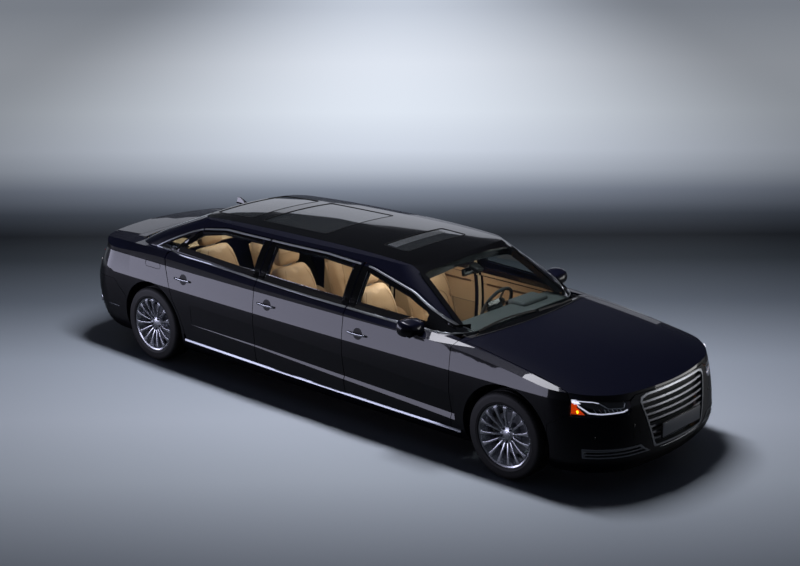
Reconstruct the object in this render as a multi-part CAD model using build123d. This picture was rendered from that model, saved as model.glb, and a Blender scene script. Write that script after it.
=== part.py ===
from build123d import *
import math
import os

# Six-door stretch limousine on a saloon base, as separate panels and running gear.
#
# Millimetres. +X is the nose, +Y the left side, +Z up. The origin lies on the floor,
# at mid length on the centreline. Every station in a table is an offset from an axle,
# from the body's half width or from the belt or roof height, so that the body follows
# those sizes when they change.

# ---------------------------------------------------------------- overall sizes
WHEELBASE = 4220
FRONT_OVERHANG = 990
REAR_OVERHANG = 1150
BODY_WIDTH = 1949
ROOF_HEIGHT = 1470
BELT_HEIGHT = 1070
LENGTH = WHEELBASE + FRONT_OVERHANG + REAR_OVERHANG
HALF_WIDTH = BODY_WIDTH / 2
FRONT_AXLE = LENGTH / 2 - FRONT_OVERHANG
REAR_AXLE = REAR_OVERHANG - LENGTH / 2
MID_X = (FRONT_AXLE + REAR_AXLE) / 2

# ---------------------------------------------------------------- wheels
TYRE_RADIUS = 356
TYRE_WIDTH = 255
RIM_RADIUS = 254
RIM_WIDTH = 236
SPOKES = 15
TRACK_INSET = 25          # tyre's outer wall inboard of the body side
WHEEL_Y = HALF_WIDTH - TRACK_INSET - TYRE_WIDTH / 2
HUB_RADIUS = 74
DISC_RADIUS = 170
ARCH_GAP = 56             # arch lip outside the tyre
ARCH_RADIUS = TYRE_RADIUS + ARCH_GAP
KINGPIN_INSET = 60        # kingpin inboard of the wheel's middle
KINGPIN_Y = WHEEL_Y - KINGPIN_INSET

# ---------------------------------------------------------------- walls and gaps
SHUT_GAP = 6              # between a moving panel and its neighbour
SKIN_DEPTH = 35           # overlapping outer part of a door
SEAL_GAP = 14             # behind that part, which swings in by its hinge
DOOR_LAP = 24             # how far the outer part laps the door's inner box
SWING_SLOPE = 0.05        # slant of a door's rear edge, which swings back as it opens
SWING_ROOM = 15           # extra gap behind the rear door's window frame
HINGE_ROOM = 17           # recess in the posts and sill for a door's front edge
DOOR_DEPTH = 125
PILLAR_DEPTH = 88         # wall above the belt
WALL = 60                 # wings, quarters and bumpers
GLASS = 5
GLASS_SET = 3             # outer face of a pane below the skin
GLASS_SLACK = 0.5
GLASS_LAND = 18           # pane's overlap on its flange
WINDOW_FRAME = 28         # beside the windscreen post
FLOOR_BOTTOM = 180
FLOOR_THICK = 60
FLOOR_TOP = FLOOR_BOTTOM + FLOOR_THICK
BOOT_FLOOR = 500

# ---------------------------------------------------------------- shut lines along X
WING_CUT = FRONT_AXLE - 545
DOOR_PITCH = 1086         # front and middle doors are alike between their cuts
FRONT_CUT = WING_CUT - 1155
MIDDLE_CUT = FRONT_CUT - DOOR_PITCH
REAR_CUT = REAR_AXLE + 218
BULKHEAD_X = FRONT_AXLE - 590
REAR_BULKHEAD_X = REAR_AXLE - 20
LID_FRONT = REAR_AXLE - 530
ROOF_FRONT = FRONT_AXLE - 1155
ROOF_REAR = REAR_AXLE + 370
ROOF_HALF = 585
BUMPER_TOP = 646          # front bumper below the lamps
REAR_BUMPER_TOP = 700
LID_BOTTOM = 760
LAMP_FRONT = FRONT_AXLE + 575
GRILLE_TOP = 770
GRILLE_BOTTOM = 346
GRILLE_HALF = 436         # at its upper corners
GRILLE_LOW_HALF = 338
GRILLE_CHAMFER = 68
GRILLE_FRAME = 15
INTAKE_REAR = FRONT_AXLE + 665
INTAKE_FRAME = 11

# ---------------------------------------------------------------- cabin and lamps
SCREEN_HALF = HALF_WIDTH - 230
BONNET_REAR_HALF = HALF_WIDTH - 162
LAMP_INNER = 528
DOOR_BOTTOM = 286
SILL_RISE = 30            # the sill's top rises this much towards the rear
FLOOR_HALF = 800
SILL_INNER_REAR = REAR_AXLE + 500
ARCH_Z = TYRE_RADIUS + 6
ARCH_INNER_FRONT = 495
ARCH_INNER_REAR = 640
HUB_FACE = WHEEL_Y - 27   # where the wheel's hub starts
LAMP_DEPTH = 100
TAIL_LAMP_FRONT = REAR_AXLE - 850
GRILLE_SLATS = 7
GRILLE_SLAT = 15
SLAT_SET = 12             # slats behind their frame's face
STEER_RADIUS = 185
STEER_GRIP = 15
STEER = Pos(FRONT_AXLE - 1130, 370, 870) * Rot(0, -65, 0)
SEAT_Y = 362
SEAT_WIDTH = 508
DASH_HALF = 700
SEAT_TURN = 18
SEAT_ROWS = [("front_seats", FRONT_AXLE - 1540), ("middle_seats", FRONT_AXLE - 2530), ("rear_seats", REAR_AXLE + 640)]

# Plan outlines of the lower body: height, inset from half width, nose and tail set
# back from the ends, corner radius at nose and at tail.
FLANK = [
    (180, 104, 92, 130, 480, 420),
    (300, 38, 12, 50, 520, 440),
    (470, 12, 8, 8, 540, 450),
    (640, 0, 34, 6, 550, 450),
    (800, 3, 76, 58, 550, 440),
    (1120, 19, 190, 105, 540, 430),
]
NOSE_BOW = 2000
TAIL_BOW = 2600
SIDE_BOW = 45

# Cross frames of the upper surface: X from the front or rear axle, height of the
# shoulder from the belt, inset and height of the top edge, height at the centre, inset
# of the bonnet's crease and how far it stands above the plain crown.
TOP_FRAMES = [
    ("front", 1070, -380, 174, -335, -318, 605, 3),
    ("front", 584, -280, 104, -244, -202, 420, 10),
    ("front", 0, -185, 114, -145, -113, 370, 9),
    ("front", -545, -122, 124, -85, -62, 362, 4),
    ("front", -1690, -102, 74, -25, -10, 362, 0),
    ("rear", 1430, -90, 78, 2, 20, 362, 0),
    ("rear", 65, -85, 94, 20, 45, 362, 0),
    ("rear", -470, -98, 144, -2, 30, 362, 0),
    ("rear", -1230, -145, 214, -60, -30, 362, 0),
]
SHOULDER_Y = HALF_WIDTH - 10
OUTER_Y = HALF_WIDTH + 65
CREASE_SWELL = 0.9        # swelling beside the crease, as a share of its height

# Plan outlines of the cabin above the belt: height from the belt, half width inset,
# screen X from the front axle, backlight X from the rear axle, corner radii.
CABIN = [
    (-130, 62, -345, -690, 260, 300),
    (30, 102, -605, -450, 240, 280),
    (190, 184, -870, -90, 220, 260),
    (430, 334, -1270, 530, 200, 240),
]
SCREEN_BOW = 1700
BACKLIGHT_BOW = 1900
CABIN_BOW = 70

# Roof crown: X, height of the edge and of the centre, both below the roof height.
ROOF_EDGE_Y = 760
ROOF = [
    ("front", -290, 255, 220),
    ("front", -1190, 75, 38),
    ("front", -2490, 45, 2),
    ("rear", 330, 85, 42),
    ("rear", -770, 290, 255),
]


def station(end, offset):
    """X of a table row measured from the front or the rear axle."""
    return (FRONT_AXLE if end == "front" else REAR_AXLE) + offset


def box(x0, x1, y0, y1, z0, z1):
    """Block between the two corners."""
    size = (x1 - x0, y1 - y0, z1 - z0)
    middle = ((x0 + x1) / 2, (y0 + y1) / 2, (z0 + z1) / 2)
    return Pos(*middle) * Box(*size)


def cylinder_y(x, z, radius, y0, y1):
    """Cylinder along Y between y0 and y1."""
    turned = Pos(x, (y0 + y1) / 2, z) * Rot(90, 0, 0)
    return turned * Cylinder(radius, abs(y1 - y0))


def side_prism(points, y0, y1):
    """Prism over an XZ outline, from y0 to y1."""
    with BuildSketch(Plane.XZ) as sketch:
        with BuildLine():
            Polyline(*points, close=True)
        make_face()
    return Pos(0, y1, 0) * extrude(sketch.sketch, y1 - y0)


def front_prism(points, x0, x1):
    """Prism over a YZ outline, from x0 to x1."""
    with BuildSketch(Plane.YZ.offset(x0)) as sketch:
        with BuildLine():
            Polyline(*points, close=True)
        make_face()
    return extrude(sketch.sketch, x1 - x0)


def plan_prism(points, z0, z1):
    """Prism over an XY outline, from z0 to z1."""
    with BuildSketch(Plane.XY.offset(z0)) as sketch:
        with BuildLine():
            Polyline(*points, close=True)
        make_face()
    return extrude(sketch.sketch, z1 - z0)


def plan_ring(z, half, nose, tail, nose_radius, tail_radius, bows):
    """Closed plan outline: bowed nose, tail and sides with rounded corners."""
    nose_bow, tail_bow, side_bow = bows
    end = half - side_bow
    nose_end = nose - nose_bow + math.sqrt(nose_bow ** 2 - end ** 2)
    tail_end = tail + tail_bow - math.sqrt(tail_bow ** 2 - end ** 2)
    middle = (nose_end + tail_end) / 2
    with BuildSketch(Plane.XY.offset(z)) as sketch:
        with BuildLine():
            ThreePointArc((nose_end, -end), (nose, 0), (nose_end, end))
            ThreePointArc((nose_end, end), (middle, half), (tail_end, end))
            ThreePointArc((tail_end, end), (tail, 0), (tail_end, -end))
            ThreePointArc((tail_end, -end), (middle, -half), (nose_end, -end))
        make_face()
        fillet(sketch.vertices().sort_by(Axis.X)[2:], nose_radius)
        fillet(sketch.vertices().sort_by(Axis.X)[:2], tail_radius)
    return sketch.sketch


def flank(inset):
    """Lower body's sides, nose and tail, set in by inset."""
    rings = []
    for z, side, nose, tail, nose_radius, tail_radius in FLANK:
        rings.append(plan_ring(
            z, HALF_WIDTH - side - inset, LENGTH / 2 - nose - inset, tail + inset - LENGTH / 2,
            max(nose_radius - inset, 60), max(tail_radius - inset, 60), (NOSE_BOW, TAIL_BOW, SIDE_BOW)))
    return loft(rings)


def crown_frame(x, shoulder, top_half, top_edge, top_centre, crease_y, ridge):
    """YZ frame whose upper side is a sloping shoulder and a crowned top with two creases."""
    slope = (top_edge - shoulder) / (SHOULDER_Y - top_half)
    outer = shoulder - (OUTER_Y - SHOULDER_Y) * slope
    middle_y = (crease_y + top_half) / 2
    drop = (top_edge - top_centre) / top_half ** 2
    crease_z = top_centre + drop * crease_y ** 2 + ridge
    middle_z = top_centre + drop * middle_y ** 2 + ridge * CREASE_SWELL
    with BuildSketch(Plane.YZ.offset(x)) as sketch:
        with BuildLine():
            Polyline((top_half, top_edge), (OUTER_Y, outer), (OUTER_Y, 0),
                     (-OUTER_Y, 0), (-OUTER_Y, outer), (-top_half, top_edge))
            ThreePointArc((-top_half, top_edge), (-middle_y, middle_z), (-crease_y, crease_z))
            ThreePointArc((-crease_y, crease_z), (0, top_centre + ridge), (crease_y, crease_z))
            ThreePointArc((crease_y, crease_z), (middle_y, middle_z), (top_half, top_edge))
        make_face()
    return sketch.sketch


def lower_body(inset=0):
    """Lower body's outside, set in by inset on its sides and top."""
    frames = []
    for end, offset, shoulder, edge_inset, edge, centre, crease_inset, ridge in TOP_FRAMES:
        base = BELT_HEIGHT - inset
        frames.append(crown_frame(station(end, offset), base + shoulder, HALF_WIDTH - edge_inset, base + edge,
                                  base + centre, HALF_WIDTH - crease_inset, ridge))
    return flank(inset) & loft(frames)


def roof_crown(inset):
    """Everything below the crowned roof."""
    frames = []
    for end, offset, edge, centre in ROOF:
        drop = ROOF_HEIGHT - inset
        low = drop - edge - (edge - centre) * 0.9
        with BuildSketch(Plane.YZ.offset(station(end, offset))) as sketch:
            with BuildLine():
                Polyline((HALF_WIDTH, low), (HALF_WIDTH, 400), (-HALF_WIDTH, 400), (-HALF_WIDTH, low))
                ThreePointArc((-HALF_WIDTH, low), (0, drop - centre), (HALF_WIDTH, low))
            make_face()
        frames.append(sketch.sketch)
    return loft(frames)


def cabin_body(inset=0):
    """Cabin's outside above the belt, set in by inset."""
    rings = []
    for height, side, screen, backlight, front_radius, rear_radius in CABIN:
        rings.append(plan_ring(
            BELT_HEIGHT + height, HALF_WIDTH - side - inset, FRONT_AXLE + screen - inset * 1.4,
            REAR_AXLE + backlight + inset * 1.6, front_radius, rear_radius,
            (SCREEN_BOW, BACKLIGHT_BOW, CABIN_BOW)))
    return loft(rings) & roof_crown(inset)


# ---------------------------------------------------------------- helpers for panels
FAR = HALF_WIDTH + 226    # beyond every surface across the car
TALL = ROOF_HEIGHT + 100
EDGE = 3                  # half a fixed seam


def slab(x0, x1, y0=-FAR, y1=FAR, z0=0, z1=TALL):
    """Block from x0 to x1, as wide and tall as the car unless told."""
    return box(x0, x1, y0, y1, z0, z1)


def less(solid, cutters):
    """Solid with each cutter taken away."""
    for cutter in cutters:
        solid = solid - cutter
    return solid


def gather(shapes, least=1000):
    """One compound of the shapes' solids over a least volume."""
    found = [solid for shape in shapes if shape for solid in shape.solids() if solid.volume > least]
    return Compound(children=found)


def both(left):
    """The left piece and its mirror image."""
    return gather([left, mirror(left, Plane.XZ)])


def whole_of(left):
    """One piece across the car from its left half."""
    return gather([left + mirror(left, Plane.XZ)])


# ---------------------------------------------------------------- outlines
def by_arch(angle, gap):
    """XZ point outside the rear arch by gap, at an angle above its middle."""
    radius = ARCH_RADIUS + gap
    turn = math.radians(angle)
    return (REAR_AXLE + radius * math.cos(turn), ARCH_Z + radius * math.sin(turn))


def sill_height(x):
    """Height of the doors' lower edge at X."""
    return DOOR_BOTTOM + SILL_RISE * (WING_CUT - x) / (WING_CUT - REAR_AXLE - 480)


def door_band(s=0, swing=0):
    """XZ outline round all three doors, made smaller by s and by swing more behind the window frame."""
    belt = BELT_HEIGHT
    rear_foot = by_arch(-6, 62 + s)[0]
    return [
        (WING_CUT - s, sill_height(WING_CUT - s) + s),
        (WING_CUT - s, belt - 68),
        (WING_CUT - 561 - s * 0.5, belt + 192 - s),
        (WING_CUT - 1053, belt + 296 - s),
        (MID_X, belt + 326 - s),
        (MIDDLE_CUT - 604, belt + 312 - s),
        (REAR_CUT + 312 + s * 0.3 + swing, belt + 262 - s),
        (REAR_CUT - 18 + s + swing, belt + 5),
        (REAR_CUT + s + swing * 0.35, belt - 102),
        by_arch(43, 34 + s),
        by_arch(24, 34 + s),
        by_arch(7, 40 + s),
        (rear_foot, sill_height(rear_foot) + s),
    ]


def door_side(s=0):
    """Plan region outboard of the screens, where the doors and side rails lie, made smaller by s."""
    rail = SCREEN_HALF - 185 + s
    return plan_prism([(WING_CUT + 60, SCREEN_HALF + 70 + s), (WING_CUT - 100, SCREEN_HALF + 45 + s),
                       (ROOF_FRONT - 30, rail + 90), (ROOF_FRONT - 60 - s, rail), (-LENGTH, rail), (-LENGTH, FAR),
                       (WING_CUT + 60, FAR)], 0, TALL)


def window_band(s=0):
    """XZ outline of the glass over all three doors, made smaller by s."""
    belt = BELT_HEIGHT
    return [
        (WING_CUT - 130 - s * 2, belt - 40 + s),
        (WING_CUT - 561 - s, belt + 150 - s),
        (WING_CUT - 1053, belt + 254 - s),
        (MID_X, belt + 284 - s),
        (MIDDLE_CUT - 604, belt + 270 - s),
        (REAR_CUT + 330 + s, belt + 222 - s),
        (REAR_CUT + 70 + s * 2, belt + 40 + s),
        (MIDDLE_CUT, belt + 22 + s),
        (FRONT_CUT, belt - 6 + s),
    ]


def quarter_outline(g=0):
    """XZ outline of the small pane behind the rear door, grown by g."""
    belt = BELT_HEIGHT
    return [(REAR_CUT + 25 - g, belt + 40 - g), (REAR_CUT + 225, belt + 205 + g),
            (REAR_CUT + 140, belt + 190 + g), (REAR_CUT - 190 - g * 2, belt + 42 - g)]


def windscreen_outline(g=0):
    """XY outline of the windscreen, grown by g."""
    top = bowed(ROOF_FRONT - 15 - g, ROOF_FRONT + 15 - g, SCREEN_HALF - 137 + g)
    foot = bowed(WING_CUT + 5 + g, WING_CUT + 105 + g, SCREEN_HALF - 10 + g)
    return top + foot[::-1]


def backlight_outline(g=0):
    """XY outline of the rear window, grown by g."""
    top = bowed(ROOF_REAR + 30 + g, ROOF_REAR + g, SCREEN_HALF - 185 + g)
    foot = bowed(LID_FRONT + 130 - g, LID_FRONT + 45 - g, SCREEN_HALF - 65 + g)
    return top + foot[::-1]


def bowed(x_side, x_middle, half, count=6):
    """Points of a bowed line across the car, from the left end to the right."""
    rows = [half * (1 - 2 * step / count) for step in range(count + 1)]
    return [(x_middle + (x_side - x_middle) * (y / half) ** 2, y) for y in rows]


def bonnet_outline(g=0):
    """XY outline of the bonnet, grown by g."""
    half = BONNET_REAR_HALF + g
    side = [(FRONT_AXLE, HALF_WIDTH - 130 + g), (FRONT_AXLE + 370, HALF_WIDTH - 116 + g),
            (LAMP_FRONT - 8, HALF_WIDTH - 96 + g), (LAMP_FRONT - g, FAR), (LENGTH, FAR)]
    mirrored = [(x, -y) for x, y in reversed(side)]
    rear = bowed(WING_CUT + 55 - g, WING_CUT + 140 - g, half)
    return side + mirrored + rear[::-1]


def bonnet_under(g=0):
    """YZ outline below the bonnet's lower front edge, raised by g."""
    return [(-1, 0), (FAR, 0), (FAR, 792 + g), (HALF_WIDTH - 94, 786 + g), (LAMP_INNER + 5, 752 + g),
            (LAMP_INNER - 60, GRILLE_TOP + 14 + g), (-1, GRILLE_TOP + 16 + g)]


def scuttle_outline(g=0):
    """XY outline of the panel between bonnet and windscreen, grown by g."""
    half = SCREEN_HALF - EDGE + g
    return [(WING_CUT - 40, -half), (WING_CUT - 40, half)] + bowed(WING_CUT + 48 + g, WING_CUT + 134 + g, half)


def lid_outline(g=0):
    """XY outline of the boot lid, grown by g."""
    tail = -LENGTH / 2 - 100
    return [(LID_FRONT + g, -600 - g), (LID_FRONT + g, 600 + g), (REAR_AXLE - 980, 575 + g),
            (tail, 560 + g), (tail, -560 - g), (REAR_AXLE - 980, -575 - g)]


def lamp_outline(g=0):
    """YZ outline of the left headlamp, grown by g."""
    return [(LAMP_INNER - g, 672 - g), (LAMP_INNER + 30, 650 - g), (FAR, BUMPER_TOP + 4 - g), (FAR, 786 + g),
            (HALF_WIDTH - 94, 780 + g), (LAMP_INNER + 5, 746 + g), (LAMP_INNER - g, 738 + g)]


def tail_lamp_outline(g=0):
    """YZ outline of the left tail lamp, grown by g."""
    return [(575 - g, 790 - g), (700, 768 - g), (FAR, 800 - g), (FAR, 935 + g), (620 - g, 905 + g)]


def grille_outline(g=0):
    """YZ outline of the grille, grown by g."""
    half = GRILLE_HALF + g
    low_half = GRILLE_LOW_HALF + g
    top = GRILLE_TOP + g
    low = GRILLE_BOTTOM - g
    right = [(low_half - 22, low), (low_half, low + 22), (half, top - 47), (half - 14, top - 16),
             (half - GRILLE_CHAMFER, top)]
    return right + [(0, top + 6)] + [(-y, z) for y, z in reversed(right)]


def intake_outline(g=0):
    """YZ outline of the left lower intake, grown by g."""
    return [(366 - g * 3.6, 330 - g), (FAR, 330 - g), (FAR, 414 + g), (468 - g, 402 + g), (426 - g, 366 + g)]


# name, rear cut, front cut, frame widths behind and ahead of the glass
DOORS = [
    ("front_door", FRONT_CUT, WING_CUT + 100, 74, 0),
    ("middle_door", MIDDLE_CUT, FRONT_CUT, 74, 74),
    ("rear_door", REAR_CUT - 400, MIDDLE_CUT, 0, 74),
]
# axle, offset along X, half length and half width of each roof pane
ROOF_PANES = [("front", -1626, 140, 380), ("rear", 1430, 400, 440), ("rear", 645, 235, 430)]


# X from the front axle, height, depth and drop of the crease low on the doors
DOOR_CREASE = [(-3640, 478, 1, 2), (-2780, 474, 7, 12), (-1900, 448, 14, 24), (-1000, 420, 19, 34), (-498, 401, 22, 42)]
CREASE_RISE = 190         # the hollow above the crease starts this much higher


def side_of(x, z):
    """Half width of the lower body at X and height z."""
    for (low, inset_low, *_), (high, inset_high, *_) in zip(FLANK, FLANK[1:]):
        if low <= z <= high:
            inset = inset_low + (inset_high - inset_low) * (z - low) / (high - low)
    half = HALF_WIDTH - inset
    return half - SIDE_BOW * (2 * x / LENGTH) ** 2


def door_hollow():
    """What the crease low on the left doors takes off the flank."""
    frames = []
    for offset, z, depth, drop in DOOR_CREASE:
        x = FRONT_AXLE + offset
        with BuildSketch(Plane.YZ.offset(x)) as sketch:
            with BuildLine():
                Polyline((side_of(x, z + CREASE_RISE), z + CREASE_RISE), (side_of(x, z) - depth, z),
                         (side_of(x, z - drop), z - drop), (FAR, z - drop), (FAR, z + CREASE_RISE), close=True)
            make_face()
        frames.append(sketch.sketch)
    return loft(frames, ruled=True)


class Forms:
    """Nested outer forms of the left half, which the walls lie between."""

    def __init__(self):
        left = slab(-LENGTH, LENGTH, 0, FAR, -10, TALL)
        low = (lower_body() & left) - door_hollow()
        self.low = low
        self.cab = cabin_body() & left
        self.body = low + self.cab
        self.upper = self.cab - low
        self.panel_in = lower_body(SKIN_DEPTH) & left
        self.skin_in = self.panel_in + (cabin_body(SKIN_DEPTH) & left)
        depth = SKIN_DEPTH + SEAL_GAP
        self.frame_out = (lower_body(depth) & left) + (cabin_body(depth) & left)
        self.hinge_in = Pos(0, -HINGE_ROOM, 0) * self.frame_out
        self.pane_out = cabin_body(GLASS_SET) & left
        self.pane_in = cabin_body(GLASS_SET + GLASS) & left
        self.pane_bed = cabin_body(GLASS_SET + GLASS + GLASS_SLACK) & left
        self.wall_in = lower_body(WALL) & left
        self.lamp_in = lower_body(LAMP_DEPTH) & left
        seam = BELT_HEIGHT - 130
        room = flank(DOOR_DEPTH) & slab(REAR_BULKHEAD_X, BULKHEAD_X, 0, FAR, FLOOR_TOP, seam + 1)
        head = cabin_body(PILLAR_DEPTH) & slab(LID_FRONT, BULKHEAD_X, 0, FAR, seam)
        self.cavity = room + head
        self.arches = [
            cylinder_y(FRONT_AXLE, ARCH_Z, ARCH_RADIUS, ARCH_INNER_FRONT, FAR),
            cylinder_y(REAR_AXLE, ARCH_Z, ARCH_RADIUS, ARCH_INNER_REAR, FAR)]


# ---------------------------------------------------------------- doors
def doors(forms):
    """Left doors and their glass, by name."""
    outboard = door_side()
    glass_band = side_prism(window_band(), 500, FAR) & door_side(WINDOW_FRAME)
    glass_hole = side_prism(window_band(GLASS_LAND), 500, FAR) & door_side(WINDOW_FRAME + GLASS_LAND)
    windows = []
    holes = []
    for name, rear, front, rear_frame, front_frame in DOORS:
        windows.append(glass_band & slab(rear + rear_frame, front - front_frame))
        holes.append(glass_hole & slab(rear + rear_frame + GLASS_LAND, front - front_frame - GLASS_LAND))
    cutters = [Compound(children=windows) - forms.pane_bed, Compound(children=holes)]
    outer = less(forms.body & (side_prism(door_band(0, SWING_ROOM), 100, FAR) & outboard), [forms.skin_in] + cutters)
    inner = forms.skin_in & (side_prism(door_band(DOOR_LAP, SWING_ROOM), 100, FAR) & outboard)
    inner = less(inner & slab(-LENGTH, LENGTH, z1=BELT_HEIGHT - 45), [forms.cavity] + cutters)
    panes = [(forms.pane_out & window) - forms.pane_in for window in windows]
    made = {}
    for (name, rear, front, rear_frame, front_frame), pane in zip(DOORS, panes):
        x0 = rear + SHUT_GAP / 2
        x1 = front - SHUT_GAP / 2
        made[name] = (outer & swing_zone(x0, x1)) + (inner & swing_zone(x0 + DOOR_LAP, x1 - DOOR_LAP))
        made[name + "_glass"] = pane
    return made


def swing_zone(x0, x1):
    """Plan region of one left door, slanted at its rear edge so that it opens past its neighbour."""
    return plan_prism([(x0, FAR), (x0, HALF_WIDTH + 10), (x0 + (HALF_WIDTH + 10) * SWING_SLOPE, 0), (x1, 0),
                       (x1, FAR)], 0, TALL)


def mirror_unit():
    """Left door mirror: housing on a short foot."""
    x = WING_CUT - 405
    y = HALF_WIDTH - 2
    housing = Pos(x, y + 3, 1035) * Box(120, 150, 118)
    housing = fillet(housing.edges(), 34)
    foot = Pos(x + 10, y - 78, 985) * Box(70, 90, 34)
    return housing + foot


# ---------------------------------------------------------------- fixed panels
def upper_shell(forms):
    """Cabin walls above the lower body, with every pane's seat and opening cut."""
    outboard = door_side()
    band = side_prism(door_band(-SHUT_GAP), 100, FAR) & outboard
    aperture = side_prism(door_band(DOOR_LAP - 2 * SHUT_GAP), 500, FAR) & outboard
    shell = less(forms.upper, [forms.cavity, band - forms.frame_out, aperture])
    low = BELT_HEIGHT - 130
    full = [plan_prism(windscreen_outline(), low, TALL), plan_prism(backlight_outline(), low, TALL),
            side_prism(quarter_outline(), SCREEN_HALF - 50, FAR)]
    holes = [plan_prism(windscreen_outline(-GLASS_LAND - 8), low, TALL),
             plan_prism(backlight_outline(-GLASS_LAND - 8), low, TALL),
             side_prism(quarter_outline(-GLASS_LAND), SCREEN_HALF - 50, FAR)]
    for end, offset, half_length, half_width in ROOF_PANES:
        for land, group in ((0, full), (GLASS_LAND, holes)):
            flat = RectangleRounded(2 * (half_length - land), 2 * (half_width - land), 60)
            group.append(extrude(Pos(station(end, offset), 0, BELT_HEIGHT) * flat, TALL - BELT_HEIGHT))
    shell = less(shell, [Compound(children=full) - forms.pane_bed, Compound(children=holes)])
    cut = [(forms.pane_out & outline) - forms.pane_in for outline in full]
    panes = {"windscreen": whole_of(cut[0]), "rear_window": whole_of(cut[1]), "quarter_glass": both(cut[2]),
             "roof_glass": gather([whole_of(pane) for pane in cut[3:]])}
    return shell, panes


def upper_panels(forms, shell):
    """Roof panel, side rails and rear posts."""
    roof = shell & slab(ROOF_REAR - 30, ROOF_FRONT + 30, 0, ROOF_HALF)
    low = BELT_HEIGHT - 130
    front_middle = plan_prism([(ROOF_FRONT + 30, -1), (ROOF_FRONT + 30, ROOF_HALF), (WING_CUT, 716),
                               (WING_CUT + 200, 730), (WING_CUT + 200, -1)], low, TALL)
    side = less(shell, [slab(ROOF_REAR - 30, ROOF_FRONT + 30, 0, ROOF_HALF), front_middle])
    rail = side & slab(ROOF_REAR + 20, LENGTH)
    rear_post = side & slab(-LENGTH, ROOF_REAR + 20)
    return roof, rail, rear_post


def posts(forms):
    """Left posts behind the two shut lines between doors, from the sill to the roof rail."""
    half = DOOR_LAP - SHUT_GAP
    blocks = Compound(children=[slab(cut - half, cut + half, 400, FAR) for cut in (FRONT_CUT, MIDDLE_CUT)])
    aperture = side_prism(door_band(DOOR_LAP - 2 * SHUT_GAP), 400, FAR) & door_side()
    recess = Compound(children=[slab(cut - half, cut + 4, 400, FAR) for cut in (FRONT_CUT, MIDDLE_CUT)])
    return less(forms.frame_out & (aperture & blocks), [forms.cavity, recess - forms.hinge_in])


def sill_block(x0, x1, rise):
    """Block from the floor's underside up to the doors' lower edge raised by rise."""
    return side_prism([(x0, FLOOR_BOTTOM), (x1, FLOOR_BOTTOM), (x1, sill_height(x1) + rise),
                       (x0, sill_height(x0) + rise)], FLOOR_HALF, FAR)


def sill(forms):
    """Left sill between the wheel arches, with the floor's side."""
    outer = sill_block(REAR_AXLE + 300, FRONT_AXLE - 300, -SHUT_GAP)
    inner = sill_block(SILL_INNER_REAR, WING_CUT - 20, DOOR_LAP - 2 * SHUT_GAP)
    recess = Compound(children=[slab(cut - 115, cut + 4, 400, FAR, sill_height(cut) - SHUT_GAP)
                                for cut in (WING_CUT, FRONT_CUT, MIDDLE_CUT)]) - forms.hinge_in
    return less((forms.low & outer) + (forms.frame_out & inner), [forms.cavity, recess] + forms.arches)


def front_wing(forms):
    """Left front wing round its arch, from the door to the bumper and lamp."""
    span = slab(WING_CUT + SHUT_GAP, LAMP_FRONT - EDGE, 0, FAR, DOOR_BOTTOM - SHUT_GAP + 2)
    wing = (forms.low & span) - forms.wall_in
    bumper = side_prism([(FRONT_AXLE + 380, 0), (FRONT_AXLE + 395, 560), (FRONT_AXLE + 520, BUMPER_TOP + EDGE),
                         (LENGTH, BUMPER_TOP + EDGE), (LENGTH, 0)], -1, FAR)
    cuts = [bumper, plan_prism(bonnet_outline(SHUT_GAP), BUMPER_TOP, TALL),
            plan_prism(scuttle_outline(EDGE), 0, TALL)]
    return less(wing, cuts + forms.arches)


def front_bumper(forms):
    """Left half of the front bumper, with the openings for the grille and the lower intake."""
    zone = side_prism([(FRONT_AXLE + 383, 0), (FRONT_AXLE + 398, 560), (FRONT_AXLE + 522, BUMPER_TOP),
                       (LENGTH, BUMPER_TOP), (LENGTH, 0)], -1, FAR)
    brow = front_prism([(-1, BUMPER_TOP - 1), (FAR, BUMPER_TOP - 1), (FAR, 700), (LAMP_INNER + 20, 700),
                        (LAMP_INNER - 8, 744), (LAMP_INNER - 60, GRILLE_TOP + 8), (-1, GRILLE_TOP + 10)],
                       LAMP_FRONT, LENGTH)
    bumper = (forms.low & (zone + brow)) - forms.wall_in
    return less(bumper, [front_prism(grille_outline(2), LAMP_FRONT, LENGTH),
                         front_prism(intake_outline(EDGE), INTAKE_REAR - EDGE, LENGTH),
                         front_prism(lamp_outline(EDGE), LAMP_FRONT - EDGE, LENGTH)] + forms.arches)


def bonnet(forms):
    """Left half of the bonnet, down to the lamp and the grille."""
    zone = plan_prism(bonnet_outline(), BUMPER_TOP, TALL) & slab(0, LENGTH, 0, FAR)
    return (forms.low & zone) - forms.panel_in - front_prism(bonnet_under(), WING_CUT, LENGTH)


def scuttle(forms):
    """Left half of the panel between bonnet and windscreen."""
    panel = (forms.low & plan_prism(scuttle_outline(), 0, TALL)) - forms.wall_in
    return less(panel, [forms.cavity, plan_prism(windscreen_outline(1), 0, TALL)])


def boot_lid(forms):
    """Left half of the boot lid, with its upright tail."""
    zone = plan_prism(lid_outline(), LID_BOTTOM, TALL) & slab(-LENGTH, 0, 0, FAR)
    skin = (forms.low & zone) - forms.panel_in
    return skin - front_prism(tail_lamp_outline(SHUT_GAP), -LENGTH, TAIL_LAMP_FRONT)


def rear_bumper(forms):
    """Left half of the rear bumper."""
    zone = side_prism([(REAR_AXLE - 383, 0), (REAR_AXLE - 398, 560), (REAR_AXLE - 560, REAR_BUMPER_TOP),
                       (-LENGTH, REAR_BUMPER_TOP), (-LENGTH, 0)], -1, FAR)
    return less((forms.low & zone) - forms.wall_in, forms.arches)


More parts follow.
